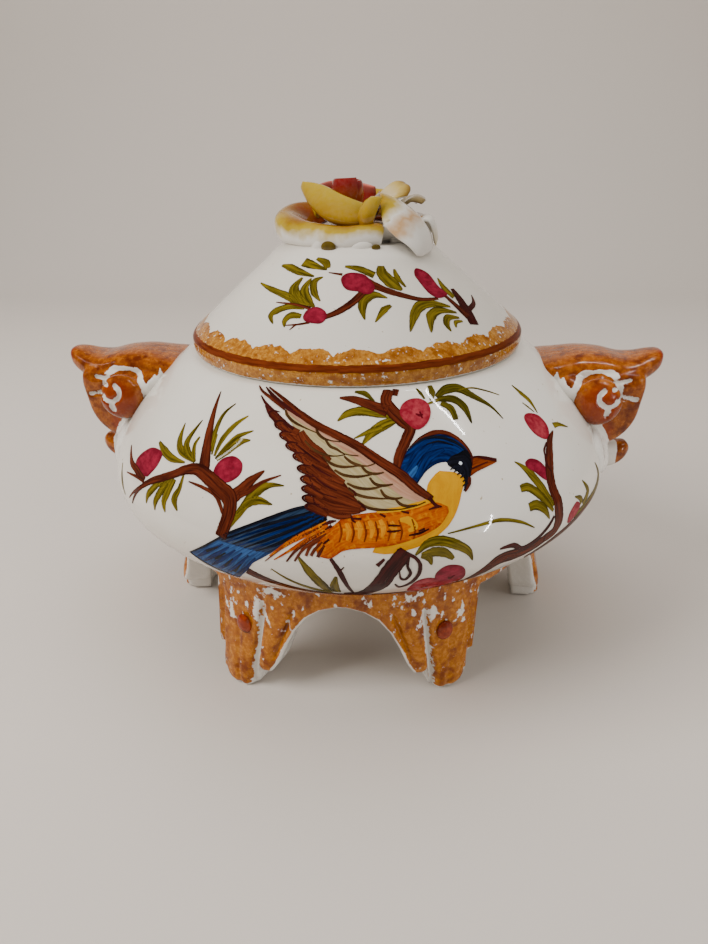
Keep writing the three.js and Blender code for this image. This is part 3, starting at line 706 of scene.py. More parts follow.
    for azimuth in (1.2, 3.4, 5.6, 7.7, 9.8, 12, 14.4):
        draw("beak", [(azimuth, 116.8), (azimuth + 0.4, 113), (azimuth, 109.4)], [0.5, 1, 0.5], LINE)
    ticks = [
        [(10, 115.2), (11, 115), (12.2, 114.7)], [(9.7, 113), (11, 112.9), (12.2, 113.1)],
        [(15.4, 112.2), (16.6, 112.8)], [(3.3, 119.2), (3.6, 117.4), (4.2, 116.6)],
        [(3.4, 118), (5.2, 117.8)], [(-1.6, 108.6), (-0.6, 110.4)],
        [(13.6, 111), (15.6, 111.4), (17.4, 112.6)],
        [(8.6, 119.4), (9.6, 118.2)], [(12.6, 119.8), (14, 119)],
    ]
    for places in ticks:
        draw("dark", places, [0.6, 1, 0.4], DETAIL)
    streaks = [
        ("orange", [(-1, 116), (-5.5, 111.2), (-8.7, 106.7), (-11.5, 101.5)], [2.6, 2.6, 1.6, 0.4]),
        ("orange", [(-0.6, 114), (-4.4, 110), (-7.6, 105), (-10.6, 100)], [2.4, 2, 1.2, 0.4]),
        ("rust", [(-2, 115), (-5.9, 110.4), (-9.4, 105), (-12.4, 98.6)], [0.6, 1.2, 0.9, 0.3]),
        ("rust", [(-1.4, 113.4), (-4.1, 110), (-6.6, 105), (-8.3, 99.8)], [0.6, 1.6, 1.3, 0.6]),
        ("rust", [(-1.1, 112.5), (-3.2, 109.4), (-5.2, 106), (-6.8, 100.4)], [0.6, 1.6, 1.4, 0.8]),
        ("rust", [(-2.2, 110), (-3.9, 107.2), (-4.7, 103.2)], [0.6, 1.4, 1.2]),
        ("rust", [(-1.8, 109.3), (-3.1, 106.2), (-3.8, 103.4)], [0.6, 1.4, 1.3]),
        ("rust", [(-1.4, 108), (-2.2, 105), (-2.6, 103)], [0.8, 1.6, 1.4]),
        ("dark", [(0.6, 117.2), (-0.6, 116.6), (-2, 115.4)], [0.5, 1.6, 0.5]),
        ("dark", [(-0.2, 115.4), (-1.4, 113.8)], [1.4, 0.5]),
    ]
    for color, places, widths in streaks:
        draw(color, places, widths, LINE)
    draw("dark", [(-0.3, 102.6), (1.4, 95), (3.3, 80)], [1.4, 2.4, 1.2], LINE)
    draw("dark", [(1.1, 96.4), (2, 98.8)], [0.8, 0.4], LINE)
    body.finish()

    head = Canvas("bird_head", BOWL, "bowl")
    draw = head.stroke
    head.patch("blue", [(12, 134.2), (14.6, 138), (16, 140.6), (18.8, 142.9), (21.8, 144), (24.6, 143.5),
                        (27, 141.7),
                        (28.6, 139), (29.2, 136), (28.8, 132.4)],
               [(12.7, 132), (14.2, 129.9), (16, 128.4), (17.3, 130.4), (18.6, 132.4), (20.5, 134),
                (22.4, 134.6),
                (23.8, 134.2), (25, 132.6), (26.8, 130.6)], 0.12)
    draw("blue", [(14, 132), (15.6, 134.6), (18, 138.4), (21.4, 141)], [4, 4.4, 4, 1.4], LINE)
    draw("blue", [(16.4, 130.4), (17.6, 133), (20, 137), (23.6, 138.6)], [2.4, 3.4, 4, 1.4], LINE)
    draw("tail_tip", [(14.6, 130.4), (15.4, 132), (17, 134.4)], [2.2, 3.4, 1], LINE + 0.02)
    head.patch("black", [(23.4, 134.4), (24.8, 136), (26.6, 136.6), (28.6, 137.2), (29.3, 134), (28.5, 131),
                         (27.4, 127.6), (26, 124)],
               [(23.6, 133.2), (24.4, 132), (25.2, 130.8), (25.8, 129.6), (26.2, 128), (26, 126),
                (25.4, 124)], DETAIL)
    draw("bark", [(16.1, 140.6), (18.8, 143), (22.2, 144.4), (25.2, 143.8), (27.5, 141.4), (28.9, 138.3),
                  (29.4, 135),
                  (28.9, 132.4)], [0.5, 1.6, 2.2, 2.2, 1.8, 1.3, 1, 0.5], DETAIL)
    draw("black", [(16.4, 140.8), (19.6, 142.8), (23, 142.8), (26.6, 140.4), (28.6, 137)],
         [0.4, 1, 1.3, 1.3, 0.6], TOP)
    draw("black", [(20, 141), (23, 141.4), (26, 139.4)], [0.4, 0.9, 0.4], TOP)
    for azimuth, height in ((24.2, 132.2), (24.8, 131.2), (25.4, 130.2), (25.9, 129), (26.2, 127.6),
                            (25.9, 126)):
        draw("black", [(azimuth + 0.8, height + 0.6), (azimuth - 0.5, height - 0.5)], [1.3, 0.3], TOP)
    head.patch("beak", [(28.9, 134.2), (30.5, 134.1), (32.4, 133), (34.9, 131.7)],
               [(27.5, 128.2), (29.4, 129.4), (31.9, 130.2), (34.7, 131)], LINE)
    draw("dark", [(28.9, 134.4), (30.6, 134.3), (32.5, 133.2), (34.9, 131.6)], [0.8, 0.8, 1.6, 1.6], TOP)
    draw("dark", [(28, 130.6), (30.4, 131.3), (32.6, 131.8)], [0.5, 0.7, 0.4], TOP)
    draw("bark", [(27.4, 128.2), (26.9, 126), (25.7, 123.6)], [1.4, 1.8, 0.6], TOP)
    # The bird's eye: a small bright dot of painted highlight.
    head.blob("eye", [(26.3 + 0.36 * math.cos(a),
                       133.3 + 0.58 * math.sin(a)) for a in np.arange(6) * math.pi / 3],
              0.36, 3)
    head.finish()

    tail = Canvas("bird_tail", BOWL, "bowl")
    draw = tail.stroke
    tail.patch("tail", [(-1.8, 122.2), (-5.8, 121.3), (-10, 118.2), (-15.2, 113.1), (-20.1, 107.5),
                        (-22.8, 103.8)],
               [(-1, 117.4), (-5, 112.2), (-8.4, 107.8), (-11.4, 102.4)], 0.08)
    tail.patch("tail_tip", [(-22.6, 104.1), (-25.4, 98.9), (-27.6, 95.6), (-30, 91.9)],
               [(-11.2, 102.8), (-12.6, 100.4), (-15.1, 96), (-16.5, 91.4), (-18.6, 86), (-20.4, 81.4)],
               0.08, 17)
    for i in range(7):
        share = (i + 0.6) / 7
        start = (-2 + share * 0.8, 121.6 - 4 * share)
        middle = (-13 + 3.6 * share, 114.2 - 7 * share)
        end = (-22 + 8.4 * share, 104.6 - 2 * share)
        draw("black" if i % 2 == 0 else "blue", [start, middle, end], [1.4, 1.2, 0.4], LINE)
    for i in range(6):
        share = (i + 0.5) / 6
        draw("blue", [(-21.6 + 8 * share, 103 - 4 * share), (-25.4 + 8.6 * share, 97.6 - 8 * share),
                      (-28.6 + 8.2 * share, 92.2 - 10 * share)], [0.6, 2.2, 0.8], LINE)
    for i in range(4):
        draw("black", [(-22 + 1.5 * i, 101 - 2.2 * i), (-25 + 1.7 * i, 96.6 - 3 * i)], [0.6, 1.2], DETAIL)
    draw("black", [(-29.8, 92), (-27.4, 88.6), (-24.6, 84.4), (-20.8, 81.6)], [0.8, 2, 2, 1], LINE)
    draw("black", [(-1.8, 122.4), (-5.8, 121.4), (-10, 118.3), (-15.2, 113.2), (-20.1, 107.6),
                   (-25.4, 99.1),
                   (-30, 92)], [0.6, 1.2, 1.4, 1.2, 1, 0.9, 0.5], DETAIL)
    tail.finish()


def lid_branch(name="lid_branch", turn=0, flip=1):
    canvas = Canvas(name, LID, "lid", turn, flip)
    draw = canvas.stroke
    draw("dark", [(52, 178.3), (53.5, 183), (55, 188), (55.8, 192.4)], [5.6, 6.4, 5, 2.4], LINE)
    draw("bark", [(51.8, 181.4), (50, 186.3), (48, 190.4), (44.6, 195.4)], [4, 3, 2, 1.2], LINE)
    draw("dark", [(55, 183.8), (62, 185.2), (66, 188)], [3, 2.4, 0.5], LINE)
    draw("bark", [(43, 190.2), (34, 190.9), (25.5, 193.3), (17.5, 196), (10, 199.2)],
         [1.4, 2.2, 3, 3.6, 4.4], LINE)
    draw("bark", [(8.5, 195.4), (3, 191.3), (-3, 187.9), (-9, 185.6)], [3.4, 3.6, 3.2, 2.4], LINE)
    draw("bark", [(-2.6, 201.7), (-10.5, 202.4)], [1.4, 0.4], LINE)
    draw("bark", [(-14.4, 189), (-22.3, 190), (-32, 190)], [2, 1.4, 0.4], LINE)
    draw("bark", [(-13, 184), (-17.5, 183), (-22.5, 182.3)], [1.2, 1, 0.4], LINE)
    draw("bark", [(-18, 183), (-19.8, 180.9)], [1, 0.4], LINE)
    canvas.blob("berry", [(38.3, 200.2), (42, 202.3), (47.6, 199.8), (48, 194.5), (49.8, 191),
                          (43.5, 190.3),
                          (40, 192.6), (38.6, 196.7)], DETAIL)
    canvas.blob("berry", [(-3, 199.8), (-0.5, 202), (5, 202.3), (10.5, 201), (14, 197), (12, 194.6),
                          (8.8, 194.3),
                          (6, 195.3), (0, 196.3)], DETAIL)
    canvas.blob("berry", [(-16.3, 186), (-15.4, 188.4), (-11.8, 189.6), (-8.2, 188.5), (-6.7, 186.3),
                          (-8.3, 184),
                          (-11.8, 183.8), (-15, 184.4)], DETAIL)
    leaves = [
        ([(-52, 195.6), (-39.8, 194.3), (-27.5, 192.6), (-20.5, 189.8)], [0.6, 3, 4, 2]),
        ([(-25, 200), (-26.8, 196), (-22.3, 192.3), (-15.8, 190)], [1, 5, 6, 2]),
        ([(-19.5, 200), (-20.8, 196), (-17, 192), (-12.8, 189.5)], [0.6, 4.4, 4.6, 1]),
        ([(-13, 200.7), (-17, 198.8), (-15.2, 195), (-11, 191.8)], [0.5, 3.6, 3.6, 0.5]),
        ([(-46, 203.5), (-38, 203.3), (-28.8, 202), (-18.3, 200.7)], [1, 4, 4, 0.8]),
        ([(-29.5, 205.9), (-22.5, 205), (-12, 203.5)], [5, 4.4, 0.8]),
        ([(-21, 207.6), (-14, 206.2), (-12, 204)], [1.5, 4, 3]),
        ([(-17, 188.8), (-24.3, 189), (-29.5, 187), (-30.8, 185), (-27.8, 182.3)], [1, 3.4, 4.4, 3, 0.4]),
        ([(-17.2, 186), (-21.7, 186), (-23.3, 184), (-22.3, 181.6)], [2.4, 4, 3, 0.4]),
        ([(-1.5, 204.8), (7, 203.8), (15, 201.2)], [1, 3.4, 4]),
        ([(20, 204.6), (19.8, 201.5), (23.5, 197.8), (27, 195)], [3, 6, 7, 1.4]),
        ([(27.5, 203), (27.3, 200), (29.5, 196)], [1, 3, 1]),
        ([(18.8, 192.6), (13.3, 194), (8.8, 192.5), (7.3, 189.5), (8, 185.2)], [0.6, 4, 5, 4, 0.4]),
        ([(19.5, 189.8), (16, 188.3), (11.8, 184.2)], [1.4, 3.6, 0.4]),
        ([(46.5, 186.5), (38.5, 188.8), (32, 188.5), (27.5, 185.3), (23.8, 180)], [1, 4.4, 5.4, 4.4, 0.5]),
        ([(47.5, 184), (40, 186), (34.5, 184.3), (31.5, 178.8)], [1, 4, 5, 0.5]),
        ([(47, 182), (42, 183), (39.5, 181), (39.5, 178)], [1, 3.6, 3.6, 0.5]),
        ([(47.4, 180.6), (44, 180.8), (42.6, 179)], [1, 2.2, 0.8]),
        ([(52, 197.4), (51, 193.6), (52.6, 189.4)], [0.5, 4, 3.6]),
    ]
    for places, widths in leaves:
        draw("leaf", places, widths)
    canvas.finish()


def ring_band(canvas, paint_name, lower, upper, lift, around=600):
    """A closed band round the axis between two heights, each a function of azimuth in degrees."""
    azimuths = np.arange(around) * 360 / around
    shares = np.linspace(0, 1, 19)
    places, flow, edge = [], [], []
    for azimuth in azimuths:
        low, high = lower(azimuth), upper(azimuth)
        for share in shares:
            places.append((azimuth, low + (high - low) * share))
            flow.append((azimuth * 1.5, (share - 0.5) * (high - low)))
            edge.append(abs(2 * share - 1) * 0.8)
    wide = len(shares)
    faces = [[i * wide + j, ((i + 1) % around) * wide + j, ((i + 1) % around) * wide + j + 1,
              i * wide + j + 1]
             for i in range(around) for j in range(wide - 1)]
    canvas.slab(paint_name, places, faces, flow, edge, lift)


def lid_bands():
    """The sponged border of the lid, scalloped above and ragged below, and the brown line round it."""
    rough = np.random.default_rng(3)
    ragged = spline([(i, rough.uniform(-0.35, 0.35)) for i in range(241)], 6)
    coarse = lambda azimuth, k: np.interp((azimuth * k) % 240, ragged[:, 0], ragged[:, 1])

    def scallops(azimuth):
        lobe = abs(math.sin(math.radians(azimuth * 12.5 + 30 + 14 * math.sin(math.radians(azimuth)))))
        return 172.2 + 2.8 * lobe ** 0.5 + coarse(azimuth, 2 / 3) * 1.2 + coarse(azimuth, 4) * 0.8

    canvas = Canvas("lid_border", LID, "lid")
    ring_band(canvas, "sponge", lambda azimuth: 160.6 + abs(coarse(azimuth, 2)) * 1.4, scallops, 0.1)
    ring_band(canvas, "band", lambda azimuth: 166.7 + coarse(azimuth, 2 / 3) * 0.5,
              lambda azimuth: 169.5 + coarse(azimuth + 99, 2 / 3) * 0.5, LINE)
    canvas.finish()


def back_spray():
    """Free brushwork between the trees on the back: a bough of leaves and berries."""
    canvas = Canvas("back_spray", BOWL, "bowl", 180)
    draw = canvas.stroke
    draw("bark", [(-17, 96), (-9, 103), (-1, 110), (6, 119), (14, 128), (19, 139)], [5, 6, 6, 5, 4, 0.6],
         LINE)
    draw("bark", [(-1, 110), (-6, 118), (-9, 128), (-9, 138)], [4.6, 4, 3, 0.5], LINE)
    draw("bark", [(6, 118), (13, 117), (21, 121)], [3.4, 2.4, 0.5], LINE)
    berries = [(-10, 141, 4), (21.5, 124.5, 4.2), (20, 143, 4), (-3.5, 124, 3.4)]
    for azimuth, height, size in berries:
        ring = [(azimuth + size * 0.62 * math.cos(a), height + size * math.sin(a))
                for a in np.arange(8) * math.pi / 4]
        canvas.blob("berry", ring, DETAIL)
    for azimuth, height, lean in ((-13, 100, 1), (-6, 106, -1), (2, 114, 1), (9, 122, -1), (14, 129, 1),
                                  (-7.4, 122, -1),
                                  (-8.6, 131, 1), (11, 118, 1), (-10, 103, -1), (4, 116, -1)):
        for spread, reach in ((0.5, 11), (1, 12), (1.5, 9.5)):
            draw("leaf", [(azimuth, height), (azimuth + lean * spread * 2.4, height + reach * 0.5),
                          (azimuth + lean * spread * 6, height + reach * (1.2 - 0.6 * spread))],
                 [1, 4, 0.4])
    canvas.finish()

# ---------------------------------------------------------------- bowl and lid

def give(piece, **values):
    """Writes one number for each point of the piece, under each name."""
    for name, numbers in values.items():
        layer = piece.data.attributes.new(name, "FLOAT", "POINT")
        layer.data.foreach_set("value", np.asarray(numbers, np.float32))


def done(piece, finish, body, nodes):
    piece.data.materials.append(finish)
    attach(piece, body)
    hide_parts(*nodes)
    return piece


def bowl():
    inside = sideways(BOWL_SIDE, WALL)[5:-18][::-1]
    rim = [(88.7, 159.2), (88, 159.5), (77, 159.5), (76.2, 159.2), (76, 158.5), (76, 152.5), (77, 151.2)]
    outline = [(0, 55), (80, 55), (83, 55.2), *BOWL_SIDE[3:-1], *rim, *inside, (70, 61.6), (0, 61)]
    done(revolve("bowl_glazed", outline), GLAZE, "bowl", ["bowl_body"])


def lid():
    inside = sideways(LID_SIDE[52:], WALL)[::-1]
    edge = [(68, 160.4), (68, 153.5), (68.5, 152.7), (70, 152.5), (72, 152.5), (73.1, 152.8), (73.5, 153.6),
            (73.5, 159.2), (74, 159.8), (85, 159.8), (85.6, 159.95)]
    outline = [(0, 206), *inside, *edge, *LID_SIDE, (31, 212.4), (0, 212.4)]
    done(revolve("lid_glazed", outline), GLAZE, "lid", ["lid", "lid_ring"])


# ---------------------------------------------------------------- stand: the ring and its six feet

# Where each foot stands, which side carries the arch, and the radius of its toe, as in the frame.
FEET = {
    "front_left": (-31, 1, 110), "front_right": (30, -1, 104), "side_right": (91, -1, 109),
    "back_right": (150, 1, 107), "back_left": (-150, -1, 107), "side_left": (-89, 1, 111),
}
RING_BOTTOM = 54


def foot_edge(offset):
    """Height of a foot's lower edge at degrees from its middle, with the arch on the positive side."""
    outline = [(-11, RING_BOTTOM), (-10.2, 52), (-9.4, 40), (-8.5, 17), (-6.6, 14), (-5.8, 4), (-4.6, 0.8),
               (-2.6, 0),
               (2.6, 0), (4.8, 0.8), (5.9, 4), (6.5, 13.2), (8, 12.2), (10.5, 13), (12.2, 18), (14.4, 28),
               (17, 38),
               (20.5, 46.5), (24.5, 51.5), (29, RING_BOTTOM)]
    angles, heights = zip(*outline)
    return np.interp(offset, angles, heights)


def bump_at(value, middle, width):
    return np.exp(-((value - middle) / width) ** 2)


def smooth_step(value, low, high):
    share = np.clip((value - low) / (high - low), 0, 1)
    return share * share * (3 - 2 * share)


def foot_relief(offset, height, distance):
    """How far the modelled lobes stand out, and how bare of ochre the face is, on and near a foot."""
    low = 1 - smooth_step(height, 44, 56)
    groove = bump_at(offset, 5.4 + 0.06 * (height - 14), 0.9) * low
    second = bump_at(offset, 10.8 + 0.2 * (height - 20), 0.8) * low * smooth_step(height, 18, 26)
    flank = bump_at(offset, -6.8 - 0.02 * height, 0.7) * smooth_step(height, 10, 18) * low
    crease = bump_at(offset, 0.8 - 0.05 * height, 0.8) * (1 - smooth_step(height, 26, 40))
    toe = bump_at(offset, 0, 4.6) * (1 - smooth_step(height, 8, 32))
    lobe = bump_at(offset, 9.2, 2.4) * bump_at(height, 20, 12)
    relief = 2.2 * toe + 1.6 * lobe - 3.2 * groove - 2.2 * second - 1.5 * flank - 0.8 * crease
    bare = 0.75 * bump_at(offset, 5.5 + 0.06 * (height - 14), 1.0) * low
    blotch = np.sin(1.5 * offset + 1.3 * np.sin(0.3 * height)) * np.sin(0.34 * height + 0.6 * offset)
    bare = np.maximum(bare, 0.42 * smooth_step(blotch, 0.3, 0.9) * smooth_step(height, 26, 42))
    bare = np.maximum(bare, 0.5 * bump_at(offset, -3.4, 1.6) * bump_at(height, 43, 8))
    bare = np.maximum(bare, 0.5 * bump_at(offset, 5.6, 1.5) * bump_at(height, 46, 10))
    bare = np.maximum(bare, 0.5 * bump_at(offset, 11, 5) * bump_at(height, 59, 4))
    bare = np.maximum(bare, 1 - smooth_step(distance, 0.9, 1.7))
    return relief, bare


def stand():
    around, rows, depth = 900, 30, 15
    azimuths = np.arange(around) * 360 / around
    bottom = np.full(around, float(RING_BOTTOM))
    offset = np.full(around, 99.0)
    toe = np.full(around, 105.0)
    for turn, flare, radius in FEET.values():
        away = (azimuths - turn + 180) % 360 - 180
        bottom = np.minimum(bottom, foot_edge(away * flare))
        near = np.abs(away) < 30
        closer = near & (np.abs(away) < np.abs(offset))
        offset = np.where(closer, away * flare, offset)
        weight = 1 - smooth_step(np.abs(away), 12, 28)
        toe += (radius - 105) * weight
    top = 66
    shares = np.linspace(0, 1, rows) ** 1.25
    edge_x = np.radians(azimuths) * 104
    points, bare = [], []
    for i in range(around):
        heights = bottom[i] + (top - bottom[i]) * shares
        window = np.arange(i - 40, i + 41) % around
        sideways_gap = ((edge_x[window] - edge_x[i] + math.pi * 104) % (2 * math.pi * 104)) - math.pi * 104
        distance = np.sqrt(sideways_gap[None] ** 2 + (bottom[window][None] - heights[:,
                                                                                     None]) ** 2).min(axis=1)
        face = np.interp(heights, (0, 55, 70), (toe[i], 103, 102.4))
        relief, white = foot_relief(np.full(rows, offset[i]), heights, distance)
        rounding = 3.2 - np.sqrt(3.2 ** 2 - np.clip(3.2 - distance, 0, 3.2) ** 2)
        outer = face + relief - rounding
        inner = np.interp(heights, (0, 55, 70), (toe[i], 103, 102.4)) - depth
        under = np.linspace(outer[0], inner[0], 7)[1:-1]
        column = [*zip(outer[::-1], heights[::-1]), *((r, bottom[i]) for r in under), *zip(inner, heights)]
        a = math.radians(azimuths[i])
        points += [(r * math.sin(a), -r * math.cos(a), z) for r, z in column]
        bare += [*white[::-1], *[1.0] * 5, *[1.0] * rows]
    wide = 2 * rows + 5
    faces = [(i * wide + j, i * wide + (j + 1) % wide, ((i + 1) % around) * wide + (j + 1) % wide,
              ((i + 1) % around) * wide + j) for i in range(around) for j in range(wide)]
    piece = build("stand", points, faces)
    face_outwards(piece)
    give(piece, bare=bare)
    done(piece, PATCHY, "bowl", ["foot_ring", *(f"foot_{name}" for name in FEET)])


def lump(name, place, size, turn=0, tilt=0):
    """An ellipsoid, with its depth along the radius at the azimuth turn."""
    work = bmesh.new()
    bmesh.ops.create_uvsphere(work, u_segments=32, v_segments=20, radius=1)
    mesh = bpy.data.meshes.new(name)
    work.to_mesh(mesh)
    work.free()
    across, deep, high = size
    a, t = math.radians(turn), math.radians(tilt)
    for vertex in mesh.vertices:
        x, y, z = vertex.co.x * across, vertex.co.y * deep, vertex.co.z * high
        y, z = y * math.cos(t) - z * math.sin(t), y * math.sin(t) + z * math.cos(t)
        vertex.co = ((place[0] + x * math.cos(a) - y * math.sin(a)) * MM,
                     (place[1] + x * math.sin(a) + y * math.cos(a)) * MM, (place[2] + z) * MM)
    for face in mesh.polygons:
        face.use_smooth = True
    return link(name, mesh)


def beads():
    for name, (turn, _, toe) in FEET.items():
        radius = np.interp(36, (0, 55), (toe, 103)) + 0.4
        turn *= 1 - 1.6 / abs(turn) if name.startswith("front") else 1
        a = math.radians(turn)
        place = (radius * math.sin(a), -radius * math.cos(a), 36)
        bead = lump(f"bead_{name}_glazed", place, (4.3, 2.6, 5.8), turn, 6)
        done(bead, BEAD, "bowl", [f"bead_{name}"])


# ---------------------------------------------------------------- handles

def limb(stations):
    """A rounded bar along +X: distance from the axis, height of its middle, half height, half depth."""
    path = spline(stations, 6)
    sides = 28
    points, faces = [], []
    for x, middle, high, deep in path:
        for k in range(sides):
            a = 2 * math.pi * k / sides
            y, z = math.cos(a), math.sin(a)
            points.append((x, deep * math.copysign(abs(y) ** 0.75, y),
                           middle + high * math.copysign(abs(z) ** 0.75, z)))
    for i in range(len(path) - 1):
        for k in range(sides):
            n = (k + 1) % sides
            faces.append((i * sides + k, i * sides + n, (i + 1) * sides + n, (i + 1) * sides + k))
    faces.append(tuple(reversed(range(sides))))
    faces.append(tuple(range((len(path) - 1) * sides, len(path) * sides)))
    return points, faces


def plate(outline, half, edge=4):
    """A plate in the plane of the handle, with a rounded edge, thick towards +Y and -Y by half."""
    ring = spline([*outline[-2:], *outline, *outline[:2]], 6)[12:-13]
    centre = ring.mean(axis=0)
    layers = [(-half, edge), (-half + 0.3 * edge, 0.35 * edge), (-half + edge, 0), (half - edge, 0),
              (half - 0.3 * edge, 0.35 * edge), (half, edge)]
    points, faces = [], []
    for y, inset in layers:
        for place in ring:
            reach = np.linalg.norm(place - centre)
            x, z = centre + (place - centre) * (1 - inset / reach)
            points.append((x, y, z))
    count = len(ring)
    for i in range(len(layers) - 1):
        for k in range(count):
            n = (k + 1) % count
            faces.append((i * count + k, i * count + n, (i + 1) * count + n, (i + 1) * count + k))
    faces.append(tuple(reversed(range(count))))
    faces.append(tuple(range((len(layers) - 1) * count, len(layers) * count)))
    return points, faces


def ball(place, size):
    """An ellipsoid as points and faces."""
    work = bmesh.new()
    bmesh.ops.create_uvsphere(work, u_segments=24, v_segments=16, radius=1)
    points = [[middle + half * c for middle, half,
               c in zip(place, size, vertex.co)] for vertex in work.verts]
    faces = [[vertex.index for vertex in face.verts] for face in work.faces]
    work.free()
    return points, faces


def leaf_root():
    """The oval leaf the handle grows from, lying on the bowl's shoulder, with soft ribs that fan out."""
    columns, rows = np.linspace(-1, 1, 41), np.linspace(-1, 1, 25)
    skins = []
    for lift_share in (1, 0):
        for column in columns:
            reach = math.sqrt(1 - 0.86 * column ** 2)
            for row in rows:
                height = 108 + 15 * reach * row
                dome = math.sqrt(max(0, 1 - column ** 2)) * math.sqrt(max(0, 1 - row ** 4))
                ribs = 0.7 * math.cos(13 * column + 3 * row * (1 if column > 0 else -1)) * dome
                lift = (3.4 * dome + ribs if lift_share else -2.5)
                skins.append(BOWL.lift(np.array([[90 + 19 * column, height]]), lift)[0])
    long, wide = len(columns), len(rows)
    faces = []
    base = long * wide
    for i in range(long - 1):
        for j in range(wide - 1):
            faces.append((i * wide + j, i * wide + j + 1, (i + 1) * wide + j + 1, (i + 1) * wide + j))
            faces.append(tuple(base + k for k in reversed(faces[-1])))
    rim = [i * wide for i in range(long)] + [(long - 1) * wide + j for j in range(1, wide)]
    rim += [i * wide + wide - 1 for i in range(long - 2, -1, -1)] + [j for j in range(wide - 2, 0, -1)]
    for a, b in zip(rim, rim[1:] + rim[:1]):
        faces.append((b, a, base + a, base + b))
    return skins, faces


def melt(name, solids, voxel, rounds):
    """One smooth skin round several overlapping solids."""
    points, faces = [], []
    for corner_points, corner_faces in solids:
        base = len(points)
        points += [tuple(p) for p in corner_points]
        faces += [tuple(base + i for i in face) for face in corner_faces]
    rough = build(name + "_rough", points, faces)
    face_outwards(rough)
    remesh = rough.modifiers.new("skin", "REMESH")
    remesh.mode = "VOXEL"
    remesh.voxel_size = voxel * MM
    remesh.use_smooth_shade = True
    soften = rough.modifiers.new("soften", "SMOOTH")
    soften.factor = 0.5
    soften.iterations = rounds
    evaluated = rough.evaluated_get(bpy.context.evaluated_depsgraph_get())
    mesh = bpy.data.meshes.new_from_object(evaluated)
    bpy.data.objects.remove(rough)
    mesh.name = name
    for face in mesh.polygons:
        face.use_smooth = True
    return link(name, mesh)


def nearness(x, z, curve, width):
    """1 on the curve, falling to 0 beyond the width."""
    line = spline(curve, 8)
    distance = np.full(len(x), 1e9)
    for px, pz in line:
        distance = np.minimum(distance, np.hypot(x - px, z - pz))
    return 1 - smooth_step(distance, width * 0.35, width)


def handle(word, side):
    bar = [(88, 147.6, 2, 15), (94, 147.4, 4, 21), (100, 147, 5.4, 23), (108, 146.8, 6.8, 22),
           (119, 147.4, 7.8, 20),
           (131, 146.8, 7.6, 19),
           (141, 145.2, 7, 17.5), (149, 145.6, 7, 15), (155.5, 147.8, 6.6, 11.5), (160.4, 150, 4.8, 7.5),
           (162.6, 151.4, 1.5, 2.5)]
    scroll = [(136, 108), (143.5, 113), (148.5, 121), (150.5, 131), (151.5, 141), (148, 146.5), (132, 147),
              (119, 144), (112.5, 138), (110, 130), (111.5, 121), (117, 113.5), (126, 109)]
    nub = [(128, 93, 6, 7), (134, 93.2, 6.6, 8), (140, 94, 6.8, 8), (146, 95.8, 6.6, 7), (150, 97.4, 5, 5),
           (152.4, 98, 1.5, 2)]
    disc, disc_faces = plate(scroll, 20.5)
    disc = [(x, y * (1 + 0.3 * float(smooth_step(140 - x, 0, 30))), z) for x, y, z in disc]
    eyes = [ball((125.5, y, 134), (12.4, 7.6, 12.4)) for y in (-27, 27)]
    webs = [ball((111, y, 139), (9, 10, 8)) for y in (-19, 19)]
    solids = [limb(bar), (disc, disc_faces), limb(nub), leaf_root(), *eyes, *webs]
    piece = melt(f"handle_{word}_glazed", solids, 0.8, 7)
    x, y, z = (np.array([v.co[k] for v in piece.data.vertices]) / MM for k in range(3))
    normals = np.array([v.normal for v in piece.data.vertices])
    face = smooth_step(np.abs(y), 12, 17) * smooth_step(x, 104, 107) * (1 - smooth_step(z, 142.5, 146))
    near = np.hypot(x - 125.5, z - 134)
    on_eye = (1 - smooth_step(near, 11.6, 12.8)) * smooth_step(np.abs(y), 20, 24)
    coil = nearness(x, z, [(136.4, 142.5), (137.4, 138), (133.8, 134.4), (129.2, 133.2), (125.2, 135.6),
                           (124.6, 139.4), (127, 142)], 2.1)
    ribs = [nearness(x, z, [(130, 132.6), (129.4, 128.8)], 2.6),
            nearness(x, z, [(134, 136), (147, 133)], 1.8),
            nearness(x, z, [(132, 142), (142, 143.4)], 1.6)]
    carved = np.maximum.reduce([coil, *ribs]) * smooth_step(np.abs(y), 16, 19)
    ring = smooth_step(near, 12, 13.2) * (1 - smooth_step(near, 15.4, 17)) * smooth_step(z - x, 6, 10)
    ring = ring * smooth_step(np.abs(y), 12, 16) * (1 - smooth_step(z, 148, 149.5))
    eye = (1 - smooth_step(near, 8, 12)) * on_eye
    move = -1.6 * carved
    for vertex, amount, normal in zip(piece.data.vertices, move, normals):
        vertex.co = vertex.co + Vector(normal * amount * MM)
    ragged = 1.5 * np.sin(x * 0.83) + 1.1 * np.sin(x * 1.9 + 1) + 0.8 * np.sin(y * 0.6)
    away = np.hypot(x, y) - np.interp(z, BOWL.height, BOWL.radius)
    root = (1 - smooth_step(away * 0.75, 3.4, 4.4)) * (1 - smooth_step(z + ragged, 144.5,
                                                                       146.5)) * (1 - on_eye)
    below = (1 - smooth_step(z, 104, 106.5)) * (1 - smooth_step(x + 0.5 * ragged, 143.5, 146))
    bare = np.maximum.reduce([root, below, ring, carved])
    red = np.maximum(0.75 * eye, 0.6 * (1 - smooth_step(np.hypot(x - 130, z - 117), 4, 9)) * face)
    tip = smooth_step(x, 157, 161)
    give(piece, bare=bare, deep=np.maximum(red, tip))
    if side < 0:
        for vertex in piece.data.vertices:
            vertex.co.x = -vertex.co.x
        piece.data.flip_normals()
    nodes = [f"handle_{word}_{part}" for part in ("bar", "scroll", "nub", "root")]
    done(piece, HANDLE, "bowl", nodes)


# ---------------------------------------------------------------- rose

